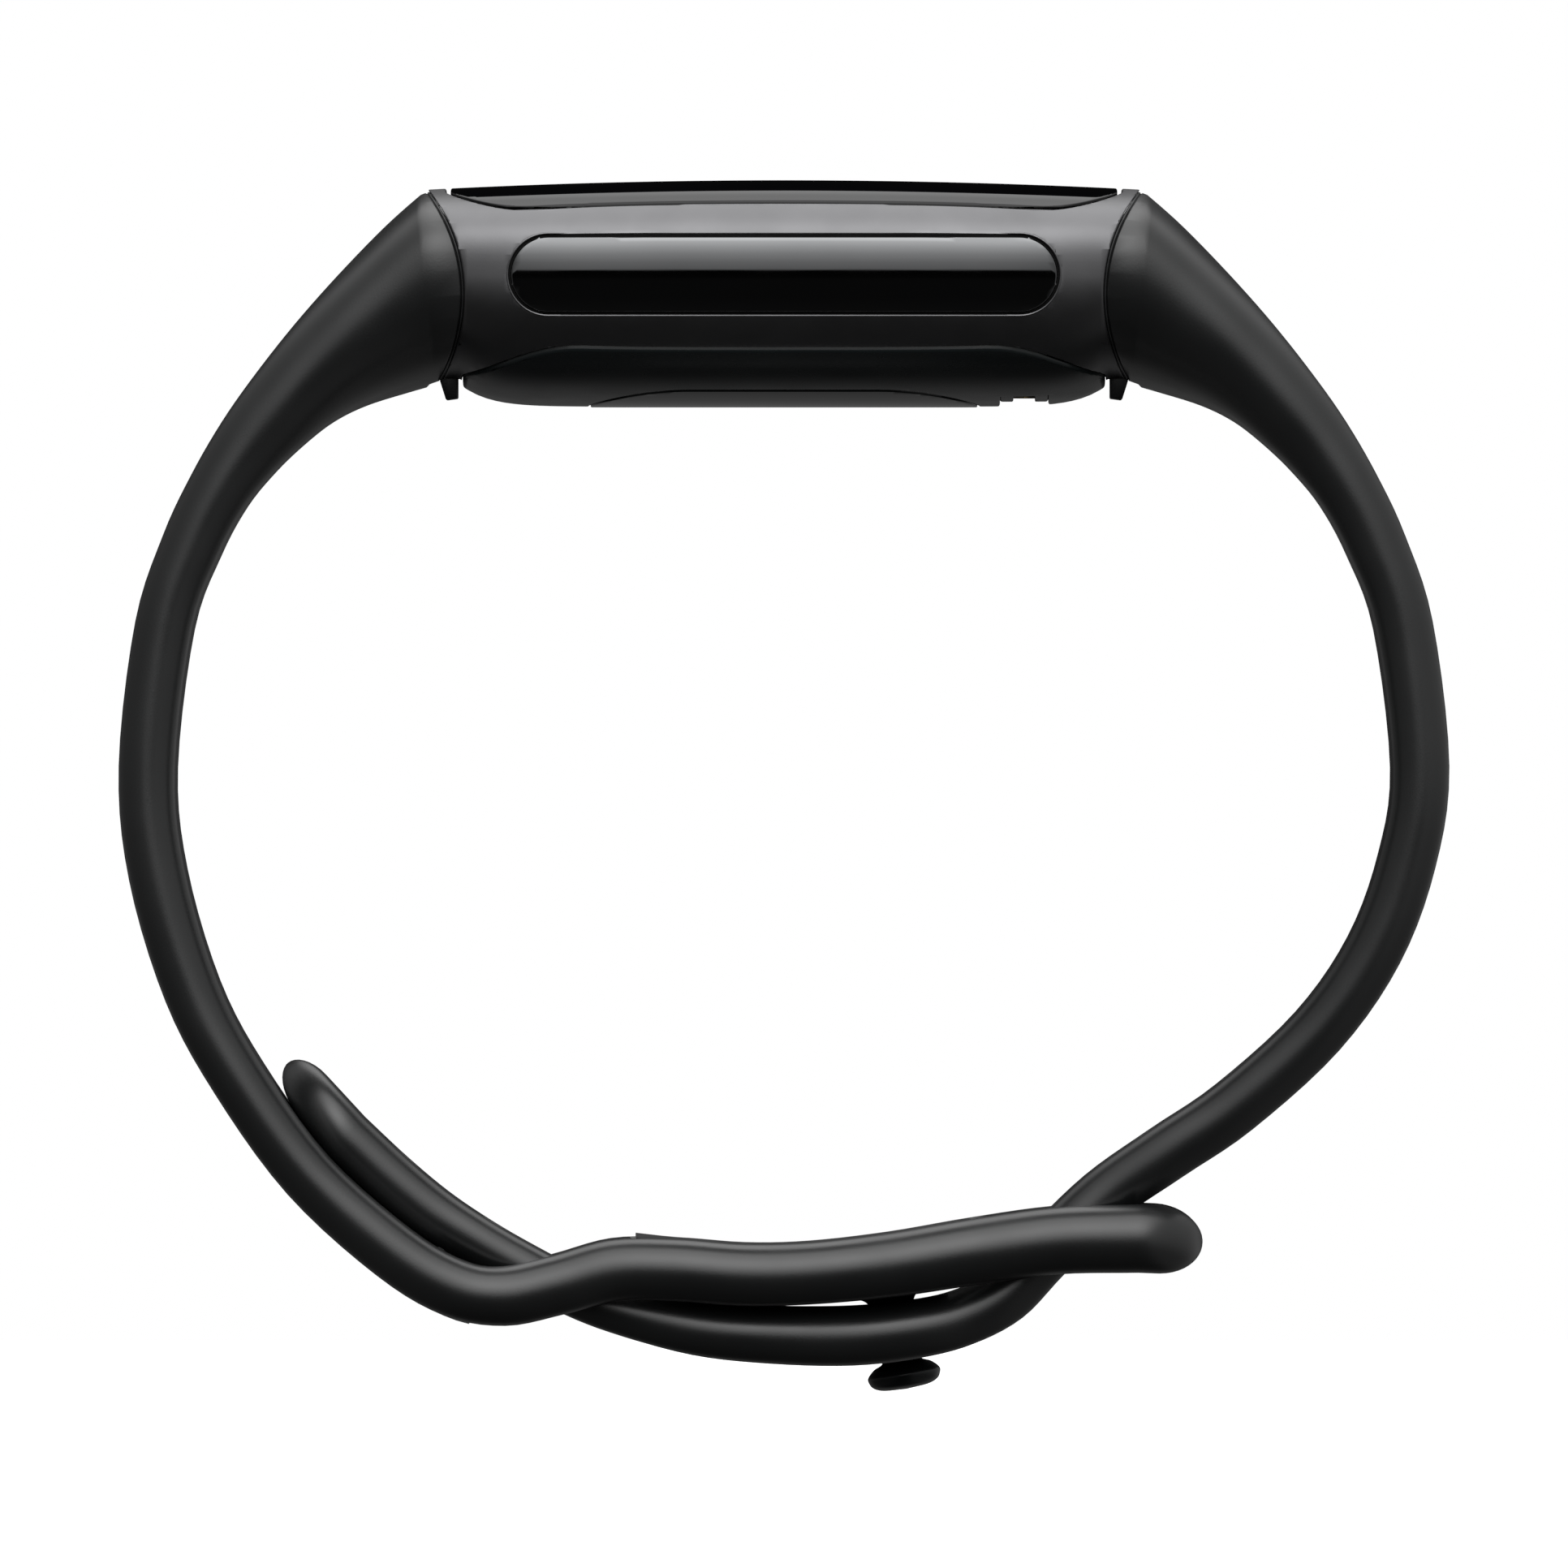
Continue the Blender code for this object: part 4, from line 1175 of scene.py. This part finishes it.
@dataclass(frozen=True)
class Clasp:
    """The peg, and the row of holes that it can stand in."""

    head: Triple = (6.15, 0.0, -28.32)
    tilt: float = math.radians(9.8)
    hole_radius: float = 1.2
    rim_radius: float = 0.3
    pitch: float = 5.5
    towards_tip: int = 5
    towards_tracker: int = 4
    profile: tuple[Pair, ...] = (
        (0, 5.6), (1.0, 5.58), (1.9, 5.15), (1.7, 4.88), (1.34, 4.66), (1.17, 4.46), (1.08, 4.2),
        (1.0, 3.85), (0.95, 2.0), (0.95, 1.6), (1.05, 1.38), (1.45, 1.2), (1.8, 0.86), (1.82, 0.6),
        (1.62, 0.28), (1.1, 0.08), (0, 0),
    )

    def axis(self) -> Vector:
        """The direction from the head towards the wrist."""
        return Vector((-math.sin(self.tilt), 0, math.cos(self.tilt)))

    def build_peg(self) -> None:
        """Mushroom peg in one smooth turned piece."""
        place = Matrix.Translation(Vector(self.head) * MM) @ Matrix.Rotation(-self.tilt, 4, "Y")
        bm = spun(rounded(self.profile, 4), place, 48)
        add_piece("mushroom_peg", bm, Palette.PEG, "loop_strap", ["clasp_peg"], 60)

    def hole_cutters(self, rows: Sequence[Row]) -> list[BMesh]:
        """Flared cutters for the holes, spaced along the strap from the peg.

        Args:
            rows: the rows of the strap with the holes.

        Returns:
            One cutter for each hole.
        """
        outers = [Vector((row[0], 0, row[1])) for row in rows]
        inners = [Vector((row[2], 0, row[3])) for row in rows]
        middles = [(a + b) / 2 for a, b in zip(outers, inners)]
        stand = Vector(self.head) + self.axis() * 2.6
        run = [0.0]
        for before, after in zip(middles, middles[1:]):
            run.append(run[-1] + (after - before).length)
        start = min(range(len(rows)), key=lambda i: (middles[i] - stand).length)
        cutters = []
        for number in range(-self.towards_tracker, self.towards_tip + 1):
            wanted = run[start] + number * self.pitch
            index = min(range(1, len(rows)), key=lambda i: abs(run[i] - wanted))
            step = (run[index] - wanted) / max(run[index] - run[index - 1], 1e-6)
            middle = middles[index].lerp(middles[index - 1], min(max(step, -1.0), 1.0))
            across = outers[index] - inners[index]
            turn = across.to_track_quat("Z", "Y").to_matrix().to_4x4()
            place = Matrix.Translation(middle * MM) @ turn
            cutters.append(spun(self.cutter_profile(across.length / 2), place, 36))
        return cutters

    def cutter_profile(self, half: float, steps: int = 5) -> list[Pair]:
        """A straight hole whose mouths flare in a quarter circle at plus and minus half.

        Args:
            half: half the strap's thickness.
            steps: the number of facets in each flare.

        Returns:
            The cutter's profile.
        """
        flare = []
        for i in range(steps + 1):
            t = math.radians(82) * i / steps
            wide = self.hole_radius + self.rim_radius * (1 - math.cos(t))
            flare.append((wide, half - self.rim_radius * (1 - math.sin(t))))
        flare += [(flare[-1][0], half + 1.5), (0, half + 1.5)]
        return [(radius, -height) for radius, height in reversed(flare)] + flare


@dataclass(frozen=True)
class Band:
    """Both straps with their clasp, connectors and release buttons."""

    clasp: Clasp = Clasp()
    flex_z: Pair = (17.0, -6.0)
    tail_hinge: Pair = (-12.87, -20.94)
    tail_flex: Pair = (3.2, -3.4)
    tail_seam_x: float = 14.6

    def build(self) -> None:
        """Makes both straps and what is fixed to them."""
        self.build_loop_strap()
        self.build_hole_strap()
        self.clasp.build_peg()
        for side, word in ((-1, "loop"), (1, "hole")):
            Connector(side, word).build()

    def mouth(self, skin: BMesh, strap: Strap) -> BMesh:
        """Trims a strap's end to the seam, notches it for the release button and rounds its rim.

        Args:
            skin: the strap's mesh. It is used up.
            strap: the strap.

        Returns:
            The trimmed mesh.
        """
        outline = [(10, 18), (18.6, 18), (18.15, 21.7), (17.8, 22.12), (17.3, 22.3), (17.3, 25.6), (10, 25.6)]
        notch = prism([(strap.side * x, z) for x, z in outline], -3.65, 3.65)
        bm = carved(skin, [PEBBLE.between_seams(strap.mouth_gap), notch])
        return softened(bm, 0.07, 2, above=20.0)

    def flex(self, strap: bpy.types.Object) -> None:
        """Bakes the strap's placement into its mesh."""
        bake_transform(strap)

    def build_loop_strap(self) -> None:
        """Strap with the tuck slot, the bridge and the end loop."""
        last = len(LOOP_STRAP.rows()) - 1
        bm = self.mouth(LOOP_STRAP.mesh(0, last), LOOP_STRAP)
        strap = add_piece("loop_strap_skin", bm, Palette.SILICONE, "",
                          ["loop_strap_upper", "loop_strap_lower"], 50)
        self.flex(strap)

    def build_hole_strap(self) -> None:
        """Strap with the row of holes, parted where the end loop hides the line."""
        rows = HOLE_STRAP.rows()
        low = [i for i, row in enumerate(rows) if row[1] < -10 and row[0] > self.tail_seam_x]
        seam, last = low[-1], len(rows) - 1
        bm = carved(self.mouth(HOLE_STRAP.mesh(0, seam), HOLE_STRAP), self.clasp.hole_cutters(rows))
        strap = add_piece("hole_strap_skin", bm, Palette.SILICONE, "",
                          ["hole_strap_upper"], 50)
        self.flex(strap)
        bm = carved(HOLE_STRAP.mesh(seam, last), self.clasp.hole_cutters(rows))
        tail = add_piece("hole_strap_tail_skin", bm, Palette.SILICONE, "",
                         ["hole_strap_lower", "hole_strap_tail"], 50)
        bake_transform(tail)


@dataclass(frozen=True)
class Connector:
    """A strap's rigid connector: its plug, the collar at the seam and the release button."""

    side: int
    word: str
    plug_x: Pair = (13.9, 19.4)
    plug_half_width: float = 7.6
    plug_z: Pair = (25.1, 29.3)
    collar: Pair = (0.03, 0.12)
    neck: Pair = (0.01, 0.21)
    button_x: Pair = (16.35, 17.25)
    button_z: Pair = (21.3, 23.35)
    button_half_width: float = 3.4
    notch_x: Pair = (9.0, 20.0)
    notch_z: Pair = (18.2, 24.15)
    notch_half_width: float = 3.63
    spring_z: Pair = (23.47, 25.78)
    spring_radius: float = 0.28
    wire_radius: float = 0.06
    spring_turns: int = 4
    spring_steps: int = 24
    spring_keep: float = 0.71

    def build(self) -> None:
        """Makes the connector's pieces."""
        self.build_plug()
        self.build_collar()
        self.build_button()
        self.build_spring()

    def span(self, near: float, far: float) -> Pair:
        """Two distances from the middle as x values on this side, lower first."""
        return tuple(sorted((self.side * near, self.side * far)))

    def build_plug(self) -> None:
        """Rounded plug with a guide groove on each face and a well for the button's spring."""
        low_z, high_z = self.plug_z
        width = self.plug_half_width
        well = (self.button_x[0] - 0.2, self.button_x[1] + 0.2)
        tools = [flank(self.side, (13.0, 15.9), 4.6, (high_z - 0.35, high_z + 1), 0.15)]
        low_x, high_x = self.span(13.0, 16.2)
        for y in (-1, 1):
            near, far = sorted((y * (width - 0.5), y * (width + 1)))
            tools.append(block((low_x, near, 26.5), (high_x, far, 27.9), 0.2))
        tools.append(flank(self.side, well, self.button_half_width + 0.2, (low_z - 1, 25.9)))
        bm = flank(self.side, self.plug_x, width, self.plug_z, 0.45, 4)
        bm = softened(carved(bm, tools), 0.06, 2)
        add_piece(f"{self.word}_plug", bm, Palette.BUTTON, f"{self.word}_strap_root",
                  [f"{self.word}_connector"])

    def slab(self, inset: float, near: float, far: float) -> BMesh:
        """A slice of the strap's end outside the seam, notched for the button.

        Args:
            inset: how far its edge is drawn in from the strap's skin.
            near: its distance from the seam on the tracker's side.
            far: its distance from the seam on the strap's side.

        Returns:
            The closed slice.
        """
        strap = LOOP_STRAP if self.side < 0 else HOLE_STRAP
        bm = carved(strap.mesh(0, 2 * strap.span_steps, inset), [PEBBLE.between_seams(far)], "INTERSECT")
        notch = flank(self.side, self.notch_x, self.notch_half_width, self.notch_z)
        return carved(carved(bm, [notch]), [PEBBLE.between_seams(near)])

    def build_collar(self) -> None:
        """Thin collar between the strap and the housing, on a neck that closes the see-through gaps; the
        neck's near-black is painted shade for the dark seam line.
        """
        root = f"{self.word}_strap_root"
        rim = softened(self.slab(0.02, *self.collar), 0.03, 2)
        add_piece(f"{self.word}_collar", rim, Palette.COLLAR, root)
        # the neck's near-black is painted shade: it makes the gap between strap and collar read as a dark
        # line
        neck = self.slab(0.07, *self.neck)
        add_piece(f"{self.word}_collar_shade_neck", neck, Palette.GASKET_AND_GAP_SHADE, root)

    def build_button(self) -> None:
        """Release button with a sloped, ribbed pad."""
        near, far = (self.side * x for x in self.button_x)
        low, high = self.button_z
        slope = self.side * 0.3
        outline = ((near, low + 0.08), (near, high), (far, high), (far, 22.25), (far - slope, low))
        bm = prism(outline, -self.button_half_width, self.button_half_width)
        ribs = []
        for index in range(-3, 4):
            x = self.span(self.button_x[0] + 0.18, self.button_x[1] - 0.42)
            y = index * 0.85
            ribs.append(block((x[0], y - 0.14, low - 0.5), (x[1], y + 0.14, low + 0.16)))
        bm = softened(carved(bm, ribs), 0.07, 3, 25)
        add_piece(f"{self.word}_button_pad", bm, Palette.BUTTON, f"{self.word}_latch",
                  [f"{self.word}_release_button"])

    def build_spring(self) -> None:
        """Press spring between the pad and the plug."""
        middle = self.side * sum(self.button_x) / 2
        low, high = self.spring_z
        rows = self.spring_turns * self.spring_steps

        def place(row: int, column: int) -> Vector:
            """A grid vertex's place on the wire.

            Args:
                row: its row.
                column: its column.

            Returns:
                The place in millimetres.
            """
            turn = 2 * math.pi * row / self.spring_steps
            round_wire = math.pi * column / 4
            radius = self.spring_radius + self.wire_radius * math.cos(round_wire)
            height = low + (high - low) * row / rows + self.wire_radius * math.sin(round_wire)
            return Vector((middle + radius * math.cos(turn), radius * math.sin(turn), height))

        coil = add_piece(f"{self.word}_press_coil", tube(place, rows, 8), Palette.STEEL,
                         f"{self.word}_strap_root", [f"{self.word}_button_spring"], 60)
        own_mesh(coil)


# ---------------------------------------------------------------- kept parts and studio


class KeptParts:
    """The frame's own parts that stay as they are and take a better finish."""

    finishes: dict[Finish, tuple[str, ...]] = {
        Palette.FOAM: ("glass_adhesive", "light_baffle", "pressure_vent"),
        Palette.GASKET_AND_GAP_SHADE: ("rear_seal",),
        Palette.BOARD: ("sensor_board", "main_board"),
        Palette.CHIP: ("photodiode_left", "photodiode_right", "processor_chip", "motion_sensor",
                       "power_chip"),
        Palette.LAMP: ("green_led_left", "green_led_right"),
        Palette.GOLD: ("charging_contact_near", "charging_contact_far"),
        Palette.DISPLAY: ("display_panel",),
        Palette.FLEX: ("display_flex", "nfc_antenna"),
        Palette.FOIL: ("battery",),
        Palette.COVER: ("battery_tray",),
        Palette.STEEL: ("radio_module", "board_screw_1", "board_screw_2", "board_screw_3", "board_screw_4",
                        "motor_case", "motor_shaft", "peg_anchor_plate"),
        Palette.TUNGSTEN: ("motor_rotor",),
    }

    def dress(self) -> None:
        """Gives each kept part its finish."""
        for finish, nodes in self.finishes.items():
            for node in nodes:
                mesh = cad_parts[node].data
                mesh.materials.clear()
                mesh.materials.append(finish.material())


@dataclass(frozen=True)
class Studio:
    """Floor, light and camera."""

    floor_z: float = -60.0
    floor_size: float = 8000.0
    floor_glow: float = 0.45
    lens: float = 1500.0
    sensor: float = 36.0
    frame_width: float = 78.7
    centre: Triple = (0.0, 0.0, 2.04)

    def build(self) -> None:
        """Makes the studio."""
        self.build_floor()
        self.build_camera()
        self.build_light()

    def build_floor(self) -> None:
        """Plain pale floor below the object."""
        bm = bmesh.new()
        bmesh.ops.create_grid(bm, x_segments=4, y_segments=4, size=self.floor_size / 2 * MM)
        bmesh.ops.translate(bm, vec=(0, 0, self.floor_z * MM), verts=bm.verts)
        mesh = bpy.data.meshes.new("studio_floor")
        bm.to_mesh(mesh)
        bm.free()
        finish = Finish("floor_paper", (0.86, 0.86, 0.86), 0.9, specular=0.1, mottle=0.004,
                        mottle_size=60, grain=1.0, relief=0.01)
        mesh.materials.append(finish.material())
        glow = finish.material().node_tree.nodes["Principled BSDF"]
        glow.inputs["Emission Color"].default_value = (1.0, 1.0, 1.0, 1.0)
        glow.inputs["Emission Strength"].default_value = self.floor_glow
        floor = bpy.data.objects.new("studio_floor", mesh)
        bpy.context.scene.collection.objects.link(floor)
        floor.visible_glossy = False
        floor.visible_diffuse = False

    def build_camera(self) -> None:
        """Long-lens camera that looks straight across the band."""
        data = bpy.data.cameras.new("studio_camera")
        data.lens = self.lens
        data.sensor_width = self.sensor
        camera = bpy.data.objects.new("studio_camera", data)
        distance = self.frame_width * self.lens / self.sensor * MM
        camera.location = Vector(self.centre) * MM + Vector((0, -distance, 0))
        camera.rotation_euler = (math.pi / 2, 0, 0)
        data.clip_start = distance * 0.1
        data.clip_end = distance * 4
        bpy.context.scene.collection.objects.link(camera)
        bpy.context.scene.camera = camera

    def build_light(self) -> None:
        """Overhead light tent: a wide bright ceiling, a front sheet that fades down, and pale walls."""
        scene = bpy.context.scene
        scene.view_settings.view_transform = "Standard"
        world = bpy.data.worlds.new("light_tent")
        scene.world = world
        net = NodeNet(world)
        net.tree.nodes.clear()
        place = net.add("TexCoord", {}, "Generated")
        x, y, z = (net.add("SeparateXYZ", {"Vector": place}, axis) for axis in "XYZ")

        def reckon(operation: str, *values: Socket | float) -> Socket:
            """Adds one arithmetic node."""
            return net.add("Math", dict(enumerate(values)), operation=operation)

        def product(*values: Socket) -> Socket:
            """Multiplies values together."""
            return reduce(lambda first, other: reckon("MULTIPLY", first, other), values)

        def ramp(value: Socket, start: float, end: float, low: float, high: float) -> Socket:
            """Runs smoothly from low to high as the value goes from start to end."""
            limits = {"From Min": start, "From Max": end, "To Min": low, "To Max": high}
            return net.add("MapRange", {"Value": value, **limits}, interpolation_type="SMOOTHSTEP")

        aside = reckon("ABSOLUTE", x)
        depth = reckon("DIVIDE", y, reckon("MAXIMUM", z, 0.001))
        spread = reckon("MULTIPLY_ADD", reckon("MAXIMUM", z, 0.0), 0.5, 0.45)
        climb = reckon("MINIMUM", reckon("MAXIMUM", reckon("DIVIDE", z, 0.59), 0.0), 1.0)
        sheet = reckon("ADD", ramp(y, -0.75, -0.3, 2.8, 1.8), ramp(y, 0.0, 0.4, 0.0, 0.1))
        tent = product(
            reckon("ADD", sheet, ramp(y, 0.5, 0.8, 0.0, -0.9)),
            reckon("MULTIPLY_ADD", climb, 0.86, 0.14),
            ramp(depth, 1.70, 1.77, 1.0, 0.0),
            ramp(reckon("DIVIDE", aside, spread), 0.12, 1.0, 1.0, 0.06),
            ramp(z, -0.008, 0.002, 0.0, 1.0),
        )
        walls = product(
            ramp(aside, 0.2, 0.6, 0.0, 1.0),
            ramp(x, -0.3, 0.3, 0.12, 0.3),
            ramp(z, -0.5, 0.1, 0.3, 1.0),
            ramp(z, 0.75, 1.0, 1.0, 0.0),
        )
        below = product(
            ramp(z, -0.95, -0.3, 1.0, 0.4),
            ramp(y, 0.55, 0.98, 0.02, 0.27),
            ramp(z, -0.1, 0.0, 1.0, 0.0),
        )
        total = reckon("ADD", reckon("ADD", tent, walls), reckon("ADD", below, 0.003))
        strength = reckon("MAXIMUM", total, net.add("LightPath", {}, "Is Camera Ray"))
        white = (1.0, 1.0, 1.0, 1.0)
        background = net.add("Background", {"Color": white, "Strength": strength})
        net.feed(net.tree.nodes.new("ShaderNodeOutputWorld"), {"Surface": background})


def main() -> None:
    """Builds the studio and every part of the object, in order."""
    logging.basicConfig(level=logging.INFO, format="%(name)s: %(message)s")
    for builder in (Studio(), TrackerShell(), Band()):
        builder.build()
    KeptParts().dress()


if __name__ == "__main__":
    main()
